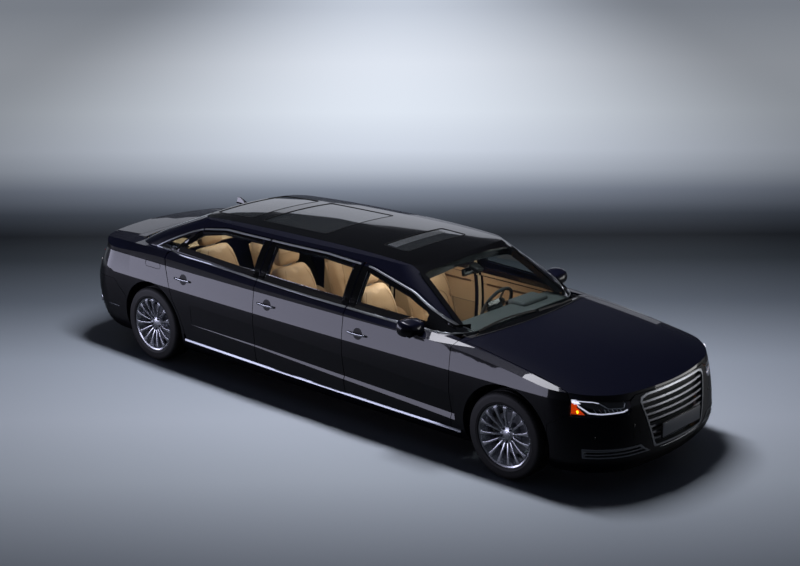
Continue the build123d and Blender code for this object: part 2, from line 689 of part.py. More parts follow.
def rear_quarter(forms, rear_post):
    """Left rear quarter panel with its post up to the roof."""
    quarter = (forms.low & slab(-LENGTH, REAR_AXLE + 600, 0, FAR, DOOR_BOTTOM)) - forms.wall_in
    bumper = side_prism([(REAR_AXLE - 380, 0), (REAR_AXLE - 395, 563), (REAR_AXLE - 558, REAR_BUMPER_TOP + EDGE),
                         (-LENGTH, REAR_BUMPER_TOP + EDGE), (-LENGTH, 0)], -1, FAR)
    cuts = [bumper, plan_prism(lid_outline(SHUT_GAP), LID_BOTTOM - SHUT_GAP, TALL),
            slab(-LENGTH, LID_FRONT, 0, 560, 0, LID_BOTTOM + 40),
            front_prism(tail_lamp_outline(EDGE), -LENGTH, TAIL_LAMP_FRONT + EDGE),
            slab(LID_FRONT - 1, 0, 0, 650),
            side_prism(door_band(-SHUT_GAP), 100, FAR) - forms.frame_out,
            side_prism(door_band(DOOR_LAP - 2 * SHUT_GAP), 100, FAR),
            plan_prism(backlight_outline(1), BOOT_FLOOR, TALL),
            side_prism([(REAR_AXLE + 300, 0), (REAR_AXLE + 300, sill_height(REAR_AXLE + 300) - SHUT_GAP + 1),
                        (REAR_AXLE + 440, sill_height(REAR_AXLE + 440) - SHUT_GAP + 1),
                        (REAR_AXLE + 440, DOOR_BOTTOM + 70), (0, DOOR_BOTTOM + 70), (0, 0)], 0, FAR)]
    return less(quarter, cuts + forms.arches) + rear_post


def headlamp(forms):
    """Left headlamp as one closed unit."""
    return (forms.low & front_prism(lamp_outline(), LAMP_FRONT, LENGTH)) - forms.lamp_in


def tail_lamp(forms):
    """Left tail lamp as one closed unit."""
    return (forms.low & front_prism(tail_lamp_outline(), -LENGTH, TAIL_LAMP_FRONT)) - forms.lamp_in


def nose_ring():
    """Thin layer round the left half of the nose, from which the brightwork is cut."""
    return (flank(-4) - flank(34)) & slab(LAMP_FRONT, LENGTH, 0, FAR)


def grille(ring):
    """Left half of the chrome frame with its slats, following the nose."""
    front = LAMP_FRONT
    frame = ring & (front_prism(grille_outline(), front, LENGTH)
                    - front_prism(grille_outline(-GRILLE_FRAME), front, LENGTH))
    inside = front_prism(grille_outline(1 - GRILLE_FRAME), front, LENGTH)
    pitch = (GRILLE_TOP - GRILLE_BOTTOM - 2 * GRILLE_FRAME) / (GRILLE_SLATS + 1)
    bars = []
    for row in range(GRILLE_SLATS):
        z = GRILLE_BOTTOM + GRILLE_FRAME + pitch * (row + 1)
        bars.append(box(front, LENGTH, 0, GRILLE_HALF, z - GRILLE_SLAT / 2, z + GRILLE_SLAT / 2))
    slats = Pos(-SLAT_SET, 0, 0) * (ring & Compound(children=bars)) & inside
    return frame + slats


def lower_intake(ring):
    """Left lower intake: chrome frame with two bars."""
    outer = front_prism(intake_outline(), INTAKE_REAR, LENGTH)
    inner = front_prism(intake_outline(-INTAKE_FRAME), INTAKE_REAR + INTAKE_FRAME, LENGTH)
    bars = [box(INTAKE_REAR, LENGTH, 400, FAR, z - 5, z + 5) for z in (358, 385)]
    whole = ring & outer
    return (whole - inner) + (Pos(-SLAT_SET, 0, 0) * (whole & Compound(children=bars)) & outer)


# ---------------------------------------------------------------- structure
def floor_pan():
    """Cabin floor, the kick-up over the rear axle and the boot floor."""
    rear = REAR_AXLE - 960
    points = [(WING_CUT + 20, FLOOR_BOTTOM), (REAR_AXLE + 270, FLOOR_BOTTOM), (REAR_AXLE + 190, BOOT_FLOOR - 50),
              (rear, BOOT_FLOOR - 50), (rear, BOOT_FLOOR), (REAR_AXLE + 220, BOOT_FLOOR),
              (REAR_AXLE + 330, FLOOR_TOP), (WING_CUT + 20, FLOOR_TOP)]
    pan = side_prism(points, -FLOOR_HALF + 1, FLOOR_HALF - 1)
    notch = ARCH_RADIUS + 30
    cuts = [cylinder_y(REAR_AXLE, ARCH_Z, notch, side * (ARCH_INNER_REAR - 16), side * FAR) for side in (1, -1)]
    corner = plan_prism([(rear - 1, 540), (REAR_AXLE - 650, FAR), (rear - 1, FAR)], 0, BOOT_FLOOR + 1)
    return less(pan, cuts + [corner, mirror(corner, Plane.XZ)])


def bulkheads(forms):
    """Wall ahead of the cabin, the wall and shelf behind it, and the deck below the rear window."""
    front = box(BULKHEAD_X + 1, WING_CUT, -740, 740, FLOOR_TOP + 1, BELT_HEIGHT - 140)
    wall = box(REAR_BULKHEAD_X - 40, REAR_BULKHEAD_X - 1, -ARCH_INNER_REAR + 18, ARCH_INNER_REAR - 18,
               BOOT_FLOOR + 1, BELT_HEIGHT - 100)
    shelf = box(LID_FRONT + 60, REAR_BULKHEAD_X - 1, -640, 640, BELT_HEIGHT - 120, BELT_HEIGHT - 90)
    deck = (forms.low & slab(LID_FRONT + SHUT_GAP, LID_FRONT + 160, 0, 649)) - forms.wall_in
    deck = deck - plan_prism(backlight_outline(1), BOOT_FLOOR, TALL)
    return gather([front, wall + shelf, whole_of(deck)])


def wheel_housings(forms):
    """Inner arches over all four wheels."""
    made = []
    inside = forms.wall_in
    for x, inner in ((FRONT_AXLE, ARCH_INNER_FRONT), (REAR_AXLE, ARCH_INNER_REAR)):
        outer = cylinder_y(x, ARCH_Z, ARCH_RADIUS + 14, inner - 14, FAR)
        tube = outer & inside & slab(-LENGTH, LENGTH, 0, FAR, DOOR_BOTTOM + SILL_RISE + 2)
        made.append(less(tube, [cylinder_y(x, ARCH_Z, ARCH_RADIUS, inner, FAR),
                                cylinder_y(x, TYRE_RADIUS, 40, inner - 20, inner + 20)]))
    return gather([both(tube) for tube in made])


def front_frame():
    """Two front longitudinals joined by the radiator's crossmember."""
    front = FRONT_AXLE + 800
    rails = [box(WING_CUT + 21, front, side * 425 - 25, side * 425 + 25, 330, 440) for side in (1, -1)]
    cross = box(front - 60, front, -450, 450, 300, 680)
    hole = box(front - 100, front + 100, -330, 330, 380, 640)
    return rails[0] + rails[1] + (cross - hole)


def engine():
    """Engine and gearbox as one plain block."""
    block = box(FRONT_AXLE - 380, FRONT_AXLE + 420, -300, 300, 300, 800)
    return fillet(block.edges(), 25)


def front_axle():
    """Crossmember and lower arms that carry the front knuckles."""
    beam = box(FRONT_AXLE - 60, FRONT_AXLE + 60, -395, 395, 196, 280)
    arms = [box(FRONT_AXLE - 30, FRONT_AXLE + 30, side * 390, side * (KINGPIN_Y + 14), 196, 224)
            if side > 0 else box(FRONT_AXLE - 30, FRONT_AXLE + 30, -(KINGPIN_Y + 14), -390, 196, 224)
            for side in (1, -1)]
    return beam + arms[0] + arms[1]


def rear_axle():
    """Final drive, half shafts and hub carriers of the rear wheels."""
    drive = fillet(box(REAR_AXLE - 150, REAR_AXLE + 170, -130, 130, 250, 440).edges(), 30)
    axle = drive + cylinder_y(REAR_AXLE, TYRE_RADIUS, 26, -HUB_FACE + 2, HUB_FACE - 2)
    for side in (1, -1):
        carrier = cylinder_y(REAR_AXLE, TYRE_RADIUS, 62, side * (HUB_FACE - 90), side * (HUB_FACE - 1))
        arm_y = side * (HUB_FACE - 80)
        low, high = sorted((side * 100, arm_y))
        axle = axle + carrier + box(REAR_AXLE - 35, REAR_AXLE + 35, low, high, 262, 300)
    return axle


def knuckle():
    """Left steered upright with its hub carrier."""
    upright = box(FRONT_AXLE - 34, FRONT_AXLE + 34, KINGPIN_Y - 30, HUB_FACE - 12, 225, 500)
    hub = cylinder_y(FRONT_AXLE, TYRE_RADIUS, 60, KINGPIN_Y - 20, HUB_FACE - 1)
    return upright + hub


def exhaust():
    """Two silencers and their pipes under the boot floor."""
    made = []
    for side in (1, -1):
        can = box(REAR_AXLE - 880, REAR_AXLE - 480, side * 420 - 130, side * 420 + 130, 250, 420)
        made.append(fillet(can.edges().filter_by(Axis.X), 40))
    return gather(made)


# ---------------------------------------------------------------- wheels
def rim():
    """Left wheel about its own middle: barrel, spokes, hub and brake disc."""
    half = RIM_WIDTH / 2
    with BuildSketch(Plane.XY) as section:
        with BuildLine():
            Polyline((RIM_RADIUS - 20, -half), (RIM_RADIUS, -half), (RIM_RADIUS, half), (RIM_RADIUS - 12, half),
                     (RIM_RADIUS - 26, half - 24), (RIM_RADIUS - 26, -half + 30), close=True)
        make_face()
    barrel = revolve(section.sketch, Axis.Y)
    with BuildSketch(Plane.XY) as section:
        with BuildLine():
            Polyline((50, 62), (RIM_RADIUS - 22, half - 22), (RIM_RADIUS - 16, half - 4), (50, 92), close=True)
        make_face()
    dish = revolve(section.sketch, Axis.Y)
    spokes = None
    for turn in range(SPOKES):
        with BuildSketch(Plane.XZ) as plan:
            with BuildLine():
                Polyline((50, -9), (RIM_RADIUS - 50, -10), (RIM_RADIUS - 16, -24),
                         (RIM_RADIUS - 16, 24), (RIM_RADIUS - 50, 10), (50, 9), close=True)
            make_face()
        spoke = Rot(0, 360 / SPOKES * turn, 0) * Pos(0, half, 0) * extrude(plan.sketch, RIM_WIDTH)
        spokes = spoke if spokes is None else spokes + spoke
    hub = cylinder_y(0, 0, HUB_RADIUS, HUB_FACE - WHEEL_Y, 84)
    disc = cylinder_y(0, 0, DISC_RADIUS, HUB_FACE - WHEEL_Y + 6, HUB_FACE - WHEEL_Y + 36)
    return barrel + (dish & spokes) + hub + disc


def tyre():
    """Left tyre about its own middle."""
    half = TYRE_WIDTH / 2
    with BuildSketch(Plane.XY) as section:
        with BuildLine():
            Polyline((RIM_RADIUS + 0.5, -half + 10), (RIM_RADIUS + 40, -half), (TYRE_RADIUS - 28, -half + 3),
                     (TYRE_RADIUS - 6, -half + 18), (TYRE_RADIUS, -half + 40), (TYRE_RADIUS, half - 40),
                     (TYRE_RADIUS - 6, half - 18), (TYRE_RADIUS - 28, half - 3), (RIM_RADIUS + 40, half),
                     (RIM_RADIUS + 0.5, half - 10), close=True)
        make_face()
    return revolve(section.sketch, Axis.Y)


# ---------------------------------------------------------------- cabin
def dashboard():
    """Dashboard across the cabin with the steering column."""
    points = [(BULKHEAD_X, 620), (BULKHEAD_X, 985), (BULKHEAD_X - 250, 985), (BULKHEAD_X - 330, 900),
              (BULKHEAD_X - 290, 640)]
    dash = side_prism(points, -DASH_HALF, DASH_HALF)
    column = STEER * Pos(0, 0, -170) * Cylinder(34, 290)
    return dash + column


def steering_wheel():
    """Steering wheel: rim, four spokes and hub."""
    with BuildSketch(Plane.XZ) as section:
        with Locations((STEER_RADIUS - STEER_GRIP, 0)):
            RegularPolygon(STEER_GRIP, 10)
    rim_ring = revolve(section.sketch, Axis.Z)
    hub = Pos(0, 0, -8) * Cylinder(58, 32)
    spokes = Box(2 * STEER_RADIUS - 30, 34, 12) + Pos(0, -STEER_RADIUS / 2, 0) * Box(34, STEER_RADIUS - 20, 12)
    return STEER * (rim_ring + hub + spokes)


def centre_console():
    """Tunnel and console between the seats, over all three rows."""
    half = SEAT_Y - SEAT_WIDTH / 2 - 3
    front = box(REAR_AXLE + 1000, BULKHEAD_X - 292, -half, half, FLOOR_TOP + 1, 420)
    front_arm = box(FRONT_AXLE - 1720, FRONT_AXLE - 1330, 10 - half, half - 10, 420, 620)
    return front + front_arm


def seat_row(x, back_turn):
    """Two seats: cushion, back and head restraint each."""
    made = []
    for side in (1, -1):
        y = side * SEAT_Y
        cushion = Pos(x - 40, y, 430) * Rot(0, -6, 0) * Box(540, SEAT_WIDTH, 180)
        back = Pos(x - 350, y, 790) * Rot(0, -back_turn, 0) * Box(150, SEAT_WIDTH - 10, 560)
        rest = Pos(x - 460, y, 1160) * Rot(0, -back_turn, 0) * Box(90, 270, 150)
        base = box(x - 280, x + 160, y - 210, y + 210, FLOOR_TOP + 3, 308)
        made += [fillet(cushion.edges(), 40), fillet(back.edges(), 40), fillet(rest.edges(), 30), base]
    return gather(made)


def build():
    """Every sub-part by node name."""
    parts = {}
    forms = Forms()
    for name, panel in doors(forms).items():
        parts[name + "_left"] = gather([panel])
        parts[name + "_right"] = gather([mirror(panel, Plane.XZ)])
    mirror_left = mirror_unit() - side_prism(door_band(), 100, HALF_WIDTH - 60)
    parts["mirror_left"] = gather([mirror_left - forms.body])
    parts["mirror_right"] = gather([mirror(mirror_left - forms.body, Plane.XZ)])
    shell, panes = upper_shell(forms)
    parts.update(panes)
    roof, rail, rear_post = upper_panels(forms, shell)
    parts["roof_panel"] = whole_of(roof)
    parts["roof_rails"] = both(rail)
    parts["posts"] = both(posts(forms))
    parts["sills"] = both(sill(forms))
    parts["front_wings"] = both(front_wing(forms))
    parts["rear_quarters"] = both(rear_quarter(forms, rear_post))
    parts["front_bumper"] = whole_of(front_bumper(forms))
    parts["rear_bumper"] = whole_of(rear_bumper(forms))
    parts["bonnet"] = whole_of(bonnet(forms))
    parts["boot_lid"] = whole_of(boot_lid(forms))
    parts["scuttle"] = whole_of(scuttle(forms))
    parts["headlamps"] = both(headlamp(forms))
    parts["tail_lamps"] = both(tail_lamp(forms))
    ring = nose_ring()
    parts["grille"] = whole_of(grille(ring))
    parts["lower_intakes"] = both(lower_intake(ring))
    parts["floor_pan"] = floor_pan()
    parts["bulkheads"] = bulkheads(forms)
    parts["wheel_housings"] = wheel_housings(forms)
    parts["front_frame"] = front_frame()
    parts["engine"] = engine()
    parts["front_axle"] = front_axle()
    parts["rear_axle"] = rear_axle()
    parts["exhaust"] = exhaust()
    left_knuckle = knuckle()
    parts["knuckle_left"] = left_knuckle
    parts["knuckle_right"] = mirror(left_knuckle, Plane.XZ)
    for end, x in (("front", FRONT_AXLE), ("rear", REAR_AXLE)):
        for kind, shape in (("rim", rim()), ("tyre", tyre())):
            left = Pos(x, WHEEL_Y, TYRE_RADIUS) * shape
            parts[f"{end}_{kind}_left"] = left
            parts[f"{end}_{kind}_right"] = mirror(left, Plane.XZ)
    parts["dashboard"] = dashboard()
    parts["steering_wheel"] = steering_wheel()
    parts["centre_console"] = centre_console()
    for name, x in SEAT_ROWS:
        parts[name] = seat_row(x, SEAT_TURN)
    return parts


os.makedirs("parts", exist_ok=True)
for node, shape in build().items():
    export_step(shape, f"parts/{node}.step")
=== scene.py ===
# %% [markdown]
# # A six-door limousine, finished in Blender
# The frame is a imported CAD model: every panel, pane, wheel and seat is already at its real place,
# in metres, with the nose towards +X, the left side towards +Y and the floor at zero.
# Right-shaped panels stay and get a real finish. What the CAD leaves plain, such as trim, lamps,
# wheels, seats and the cabin, is modelled here and rides on the same bodies.

# %% Load the frame
import math

import bmesh
import bpy
from mathutils import Matrix, Quaternion, Vector
from mathutils.bvhtree import BVHTree


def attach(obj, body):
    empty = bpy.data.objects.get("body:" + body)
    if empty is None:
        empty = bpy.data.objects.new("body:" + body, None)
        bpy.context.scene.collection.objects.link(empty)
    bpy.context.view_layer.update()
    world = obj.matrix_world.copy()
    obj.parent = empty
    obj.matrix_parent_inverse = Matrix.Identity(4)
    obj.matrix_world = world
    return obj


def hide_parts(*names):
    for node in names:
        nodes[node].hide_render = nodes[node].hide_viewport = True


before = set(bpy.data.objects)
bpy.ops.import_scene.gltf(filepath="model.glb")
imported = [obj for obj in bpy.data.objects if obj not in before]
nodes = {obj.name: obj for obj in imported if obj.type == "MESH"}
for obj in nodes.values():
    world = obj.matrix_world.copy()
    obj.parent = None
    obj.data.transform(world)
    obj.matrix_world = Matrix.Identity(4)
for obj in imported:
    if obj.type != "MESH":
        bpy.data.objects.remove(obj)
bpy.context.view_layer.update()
FRONT_AXLE = 2.190        # places of the axles along the car
REAR_AXLE = -2.030
WHEEL_Y = 0.822           # a wheel's middle, from the centreline
WHEEL_Z = 0.356           # and above the floor

# %% [markdown]
# ## Camera
# A long lens from the front right, well above the roof. The angles were fitted to the wheels and
# the shut lines, so they are written as numbers. A camera can be aimed with a constraint, but a
# plain rotation is easier to keep.

# %% Camera
bpy.ops.object.camera_add(location=(8.934, -9.5677, 4.8083))
camera = bpy.context.object
camera.name = "Camera"
camera.data.lens = 68.83
camera.data.sensor_width = 36
yaw, pitch, roll = math.radians(132.164), math.radians(-16.4345), math.radians(-0.22)
forward = Vector((math.cos(pitch) * math.cos(yaw), math.cos(pitch) * math.sin(yaw),
                  math.sin(pitch)))
camera.rotation_mode = "QUATERNION"
camera.rotation_quaternion = forward.to_track_quat("-Z", "Y") @ Quaternion((0, 0, 1), roll)
bpy.context.scene.camera = camera
bpy.context.scene.view_settings.view_transform = "Standard"
print("camera", camera.data.lens, "mm, at", tuple(round(v, 2) for v in camera.location))

# %% [markdown]
# ## Colours and nodes
# Blender's shaders work in linear light, while a colour is usually written in sRGB. One function
# turns a hex code into linear values. Another adds a node with its settings and links, which
# keeps each material to a few lines.


# %% Colour and node helpers
def srgb(code):
    """Linear RGBA of an sRGB hex code."""
    parts = [int(code[i:i + 2], 16) / 255 for i in (0, 2, 4)]
    return (*[c / 12.92 if c <= 0.04045 else ((c + 0.055) / 1.055) ** 2.4 for c in parts], 1.0)


def add_node(tree, kind, links=None, **settings):
    """Adds a node, sets its properties and fills its sockets with values or links."""
    node = tree.nodes.new(kind)
    for key, value in settings.items():
        setattr(node, key, value)
    for socket, value in (links or {}).items():
        if isinstance(value, bpy.types.NodeSocket):
            tree.links.new(value, node.inputs[socket])
        else:
            node.inputs[socket].default_value = value
    return node


def finish(name, code, roughness, metallic=0.0, **constants):
    """A new material with its tree, its Principled shader and object coordinates."""
    material = bpy.data.materials.new(name)
    material.use_nodes = True
    tree = material.node_tree
    shader = tree.nodes["Principled BSDF"]
    shader.inputs["Base Color"].default_value = srgb(code)
    shader.inputs["Roughness"].default_value = roughness
    shader.inputs["Metallic"].default_value = metallic
    for key, value in constants.items():
        shader.inputs[key.replace("_", " ")].default_value = value
    place = add_node(tree, "ShaderNodeTexCoord").outputs["Object"]
    return material, tree, shader, place


def roughen(tree, shader, place, size, depth, low, high):
    """Noise of a size in metres: bump of a depth, and roughness from low to high."""
    noise = add_node(tree, "ShaderNodeTexNoise",
                     {"Vector": place, "Scale": 1 / size, "Detail": 3.0})
    spread = add_node(tree, "ShaderNodeMapRange",
                      {"Value": noise.outputs["Fac"], "To Min": low, "To Max": high})
    tree.links.new(spread.outputs[0], shader.inputs["Roughness"])
    bump = add_node(tree, "ShaderNodeBump",
                    {"Height": noise.outputs["Fac"], "Strength": 1.0, "Distance": depth})
    tree.links.new(bump.outputs[0], shader.inputs["Normal"])
    return noise, bump


def tint(tree, shader, factor, first, second):
    """Base colour that runs between two hex codes with a factor."""
    mix = add_node(tree, "ShaderNodeMix", {"Factor": factor, "A": srgb(first), "B": srgb(second)},
                   data_type="RGBA")
    tree.links.new(mix.outputs["Result"], shader.inputs["Base Color"])


print("white is", srgb("ffffff"))


# %% [markdown]
# ## Paint
# The real finish is a navy base coat with fine metal flakes under clear coat, sprayed and baked.
# To the eye it is nearly black where it mirrors the dark studio and blue where light reaches the
# flakes. A Principled shader with a full coat gives that. The sides have a slight crown above the
# waist line, which turns their reflection up to the light; it is too shallow to model, so a bump
# that falls with height draws it.

# %% Base coat under clear coat
FLAKE = 0.0012            # real flakes are 0.05 mm; drawn coarser so that they show
PEEL = 0.018              # waves that a sprayed coat keeps
WAIST = (0.772, 0.968)    # heights between which the sides lean inwards
LEAN = 0.24               # how much the sides seem to lean there
ENDS = (2.35, 2.95)       # distances from mid length between which that lean fades out


def sprayed(name, side):
    """Navy paint; with the waist's lean when it is for a side panel."""
    material, tree, shader, place = finish(name, "090a16", 0.4, 0.0, Coat_Weight=1.0,
                                           Coat_Roughness=0.02, Coat_IOR=1.42,
                                           Specular_IOR_Level=0.1)
    flakes = add_node(tree, "ShaderNodeTexVoronoi", {"Vector": place, "Scale": 1 / FLAKE})
    tint(tree, shader, flakes.outputs["Distance"], "0d0e22", "05060d")
    waves = add_node(tree, "ShaderNodeTexNoise",
                     {"Vector": place, "Scale": 1 / PEEL, "Detail": 1.0})
    bump = add_node(tree, "ShaderNodeBump", {"Height": waves.outputs["Fac"], "Distance": 0.00002})
    if side:
        parts = add_node(tree, "ShaderNodeSeparateXYZ", {"Vector": place})
        reach = add_node(tree, "ShaderNodeMath", {0: parts.outputs["X"]}, operation="ABSOLUTE")
        fade = add_node(tree, "ShaderNodeMapRange",
                        {"Value": reach.outputs[0], "From Min": ENDS[0], "From Max": ENDS[1],
                         "To Min": 1.0, "To Max": 0.0})
        fall = add_node(tree, "ShaderNodeMapRange",
                        {"Value": parts.outputs["Z"], "From Min": WAIST[0], "From Max": WAIST[1],
                         "To Min": 0.0, "To Max": -LEAN * (WAIST[1] - WAIST[0])})
        height = add_node(tree, "ShaderNodeMath", {0: fall.outputs[0], 1: fade.outputs[0]},
                          operation="MULTIPLY")
        bump = add_node(tree, "ShaderNodeBump", {"Height": height.outputs[0], "Distance": 1.0,
                                                 "Normal": bump.outputs[0]})
    tree.links.new(bump.outputs[0], shader.inputs["Normal"])
    tree.links.new(bump.outputs[0], shader.inputs["Coat Normal"])
    return material


paint = sprayed("metallic_base_coat_under_clear_coat", False)
side_paint = sprayed("metallic_base_coat_on_the_sides", True)
print(paint.name, side_paint.name)

# %% [markdown]
# ## Trim and running-gear finishes
# Brightwork is polished metal, the posts are gloss black ABS, seals are rubber and the lower
# parts are grained polypropylene. Each starts from its usual values and gets a grain of its real
# size. The grain could be an image, but a noise texture on Object coordinates needs no unwrapping
# and stays the same size on every piece.

# %% Trim finishes
# Aluminium, polished and anodised: a mirror that the oxide layer makes a little soft.
bright, tree, shader, place = finish("polished_anodised_aluminium", "d8dbe0", 0.09, 1.0)
roughen(tree, shader, place, 0.004, 0.000002, 0.12, 0.20)
# ABS moulded in a polished tool: a dark mirror with faint waves.
gloss_black, tree, shader, place = finish("gloss_black_abs", "08080a", 0.08, Coat_Weight=1.0,
                                          Coat_Roughness=0.02)
roughen(tree, shader, place, 0.02, 0.00001, 0.06, 0.11)
# Polypropylene from a grained tool: dark and dull, with no clear reflection.
grained_black, tree, shader, place = finish("grained_polypropylene", "141416", 0.55)
roughen(tree, shader, place, 0.0015, 0.0001, 0.48, 0.68)
# EPDM rubber, extruded: matt and nearly black.
seal_rubber, tree, shader, place = finish("epdm_seal_rubber", "0b0b0c", 0.7,
                                          Specular_IOR_Level=0.15)
roughen(tree, shader, place, 0.002, 0.00006, 0.6, 0.8)
# Satin lacquer on metal: a broad soft highlight in place of a mirror.
satin_silver, tree, shader, place = finish("satin_painted_trim", "a9adb3", 0.3, 0.85)
roughen(tree, shader, place, 0.003, 0.00001, 0.25, 0.38)
# Steel, galvanised and pressed: cloudy grey from its zinc.
grey_steel, tree, shader, place = finish("galvanised_pressed_steel", "3a3c40", 0.5, 0.7)
noise, bump = roughen(tree, shader, place, 0.03, 0.0003, 0.4, 0.65)
tint(tree, shader, noise.outputs["Fac"], "2a2c30", "50535a")
# Iron cast in sand: rough, dark and a little brown.
cast_iron, tree, shader, place = finish("sand_cast_iron", "2b2a29", 0.75, 0.6)
noise, bump = roughen(tree, shader, place, 0.003, 0.0004, 0.6, 0.9)
tint(tree, shader, noise.outputs["Fac"], "1e1d1c", "3c3936")
# Aluminium alloy, cast and painted silver: bright, under a thin clear coat.
cast_alloy, tree, shader, place = finish("painted_cast_alloy", "d6d8dc", 0.24, 0.75,
                                         Coat_Weight=0.5)
noise, bump = roughen(tree, shader, place, 0.0015, 0.00001, 0.2, 0.3)
tint(tree, shader, noise.outputs["Fac"], "c9ccd1", "e2e4e8")
print("finishes so far", len(bpy.data.materials))

# %% [markdown]
# ## Glass and lenses
# Laminated glass is clear with a faint green-grey tint, and the roof panes are nearly black.
# Transmission with the real IOR of 1.5 lets the cabin show. Lamp covers are clear polycarbonate
# and the tail lenses are dyed acrylic.

# %% Glass finishes
FLUTE = 0.006             # width of a lens prism
WAVE_BAND = 0.314         # a wave texture of scale 1 has its bands this far apart


def let_lamps_through(tree, shader, code):
    """Lets shadow rays through a pane, so that lamps reach what is behind it."""
    clear_sheet = add_node(tree, "ShaderNodeBsdfTransparent", {"Color": srgb(code)})
    shadow = add_node(tree, "ShaderNodeLightPath").outputs["Is Shadow Ray"]
    both = add_node(tree, "ShaderNodeMixShader",
                    {0: shadow, 1: shader.outputs[0], 2: clear_sheet.outputs[0]})
    tree.links.new(both.outputs[0], tree.nodes["Material Output"].inputs["Surface"])


# Laminated glass, rolled flat: clear, faintly green, and a thin film of dust softens it.
clear_glass, tree, shader, place = finish("tinted_laminated_glass", "e9efec", 0.0,
                                          Transmission_Weight=1.0, IOR=1.5)
let_lamps_through(tree, shader, "d8dedb")
film = add_node(tree, "ShaderNodeTexNoise", {"Vector": place, "Scale": 3.0, "Detail": 2.0})
haze = add_node(tree, "ShaderNodeMapRange",
                {"Value": film.outputs["Fac"], "To Min": 0.0, "To Max": 0.02})
tree.links.new(haze.outputs[0], shader.inputs["Roughness"])
# Privacy glass, dyed through: little shows behind it, while its face still mirrors.
roof_glass, tree, shader, place = finish("privacy_glass", "5a6068", 0.02, Transmission_Weight=0.92,
                                         IOR=1.5, Coat_Weight=1.0)
let_lamps_through(tree, shader, "9a9fa6")
dots = add_node(tree, "ShaderNodeTexNoise", {"Vector": place, "Scale": 5.0, "Detail": 2.0})
tint(tree, shader, dots.outputs["Fac"], "565c64", "666c74")
# Polycarbonate, moulded clear and hard-coated: slight flow marks.
lamp_cover, tree, shader, place = finish("clear_polycarbonate", "f4f6f8", 0.0,
                                         Transmission_Weight=1.0, IOR=1.45)
let_lamps_through(tree, shader, "e8eaec")
haze = add_node(tree, "ShaderNodeTexNoise", {"Vector": place, "Scale": 20.0})
veil = add_node(tree, "ShaderNodeMapRange",
                {"Value": haze.outputs["Fac"], "To Min": 0.0, "To Max": 0.015})
tree.links.new(veil.outputs[0], shader.inputs["Roughness"])


def dyed_lens(name, code, glow):
    """Dyed acrylic with upright prisms behind a smooth face."""
    material, tree, shader, place = finish(name, code, 0.12, Coat_Weight=1.0, Coat_Roughness=0.02,
                                           Transmission_Weight=0.25, Emission_Strength=glow)
    shader.inputs["Emission Color"].default_value = srgb(code)
    flutes = add_node(tree, "ShaderNodeTexWave", {"Vector": place, "Scale": WAVE_BAND / FLUTE},
                      bands_direction="Y")
    bump = add_node(tree, "ShaderNodeBump", {"Height": flutes.outputs["Fac"], "Distance": 0.0006})
    tree.links.new(bump.outputs[0], shader.inputs["Normal"])
    return material


red_lens = dyed_lens("red_acrylic_lens", "8c0710", 0.12)
amber_lens = dyed_lens("amber_acrylic_lens", "e8520c", 0.35)
lit_bulb = dyed_lens("lit_amber_bulb", "ffc81e", 3.0)
light_guide = dyed_lens("white_light_guide", "f2f4ff", 0.35)
print("glass and lenses done", len(bpy.data.materials))

# %% [markdown]
# ## Cabin finishes
# The seats, door panels and lower trim are full-grain leather in a warm beige, with a pebbled
# grain about a millimetre across. The headlining is a knit, the carpet a cut pile, and the dash
# top a dark moulded skin. The posts are gloss black to the street and knit to the cabin. One
# material can do both: a point's side of the car times its normal says which way a face looks.

# %% Cabin finishes
GRAIN = 0.0032            # real pebbles are 1 mm; drawn coarser so that they show
HOLE = 0.007              # holes are 2 mm apart; drawn coarser too
KNIT = 0.003              # ribs of the knit, real ones are 1 mm


def hide_leather(name, light, dark, dotted=False):
    """Leather with pebbled grain, slow colour drift and, for inserts, rows of punched holes."""
    material, tree, shader, place = finish(name, light, 0.46, Sheen_Weight=0.08)
    drift = add_node(tree, "ShaderNodeTexNoise", {"Vector": place, "Scale": 9.0, "Detail": 4.0})
    tint(tree, shader, drift.outputs["Fac"], light, dark)
    cells = add_node(tree, "ShaderNodeTexVoronoi", {"Vector": place, "Scale": 1 / GRAIN})
    bump = add_node(tree, "ShaderNodeBump",
                    {"Height": cells.outputs["Distance"], "Distance": 0.0005})
    if dotted:
        holes = add_node(tree, "ShaderNodeTexVoronoi",
                         {"Vector": place, "Scale": 1 / HOLE, "Randomness": 0.0})
        edge = add_node(tree, "ShaderNodeMapRange",
                        {"Value": holes.outputs["Distance"], "From Min": 0.18, "From Max": 0.3})
        bump = add_node(tree, "ShaderNodeBump", {"Height": edge.outputs[0], "Distance": 0.0008,
                                                 "Normal": bump.outputs[0]})
    tree.links.new(bump.outputs[0], shader.inputs["Normal"])
    return material


post_finish, tree, shader, place = finish("gloss_black_outside_knit_inside", "08080a", 0.08)
across = add_node(tree, "ShaderNodeSeparateXYZ", {"Vector": place})
facing = add_node(tree, "ShaderNodeSeparateXYZ",
                  {"Vector": add_node(tree, "ShaderNodeNewGeometry").outputs["Normal"]})
outwards = add_node(tree, "ShaderNodeMath", {0: across.outputs["Y"], 1: facing.outputs["Y"]},
                    operation="MULTIPLY")
inside = add_node(tree, "ShaderNodeMath", {0: outwards.outputs[0], 1: -0.1}, operation="LESS_THAN")
tint(tree, shader, inside.outputs[0], "08080a", "b9a58a")
rough = add_node(tree, "ShaderNodeMapRange",
                 {"Value": inside.outputs[0], "To Min": 0.08, "To Max": 0.9})
tree.links.new(rough.outputs[0], shader.inputs["Roughness"])
# Leather, dyed and pressed with a grain: a soft sheen and no sharp highlight.
leather = hide_leather("full_grain_leather", "c4a380", "b3916d")
insert_leather = hide_leather("perforated_leather", "ccad8b", "bc9a76", dotted=True)
piping_leather = hide_leather("leather_piping", "8f6e4c", "7d5f40")
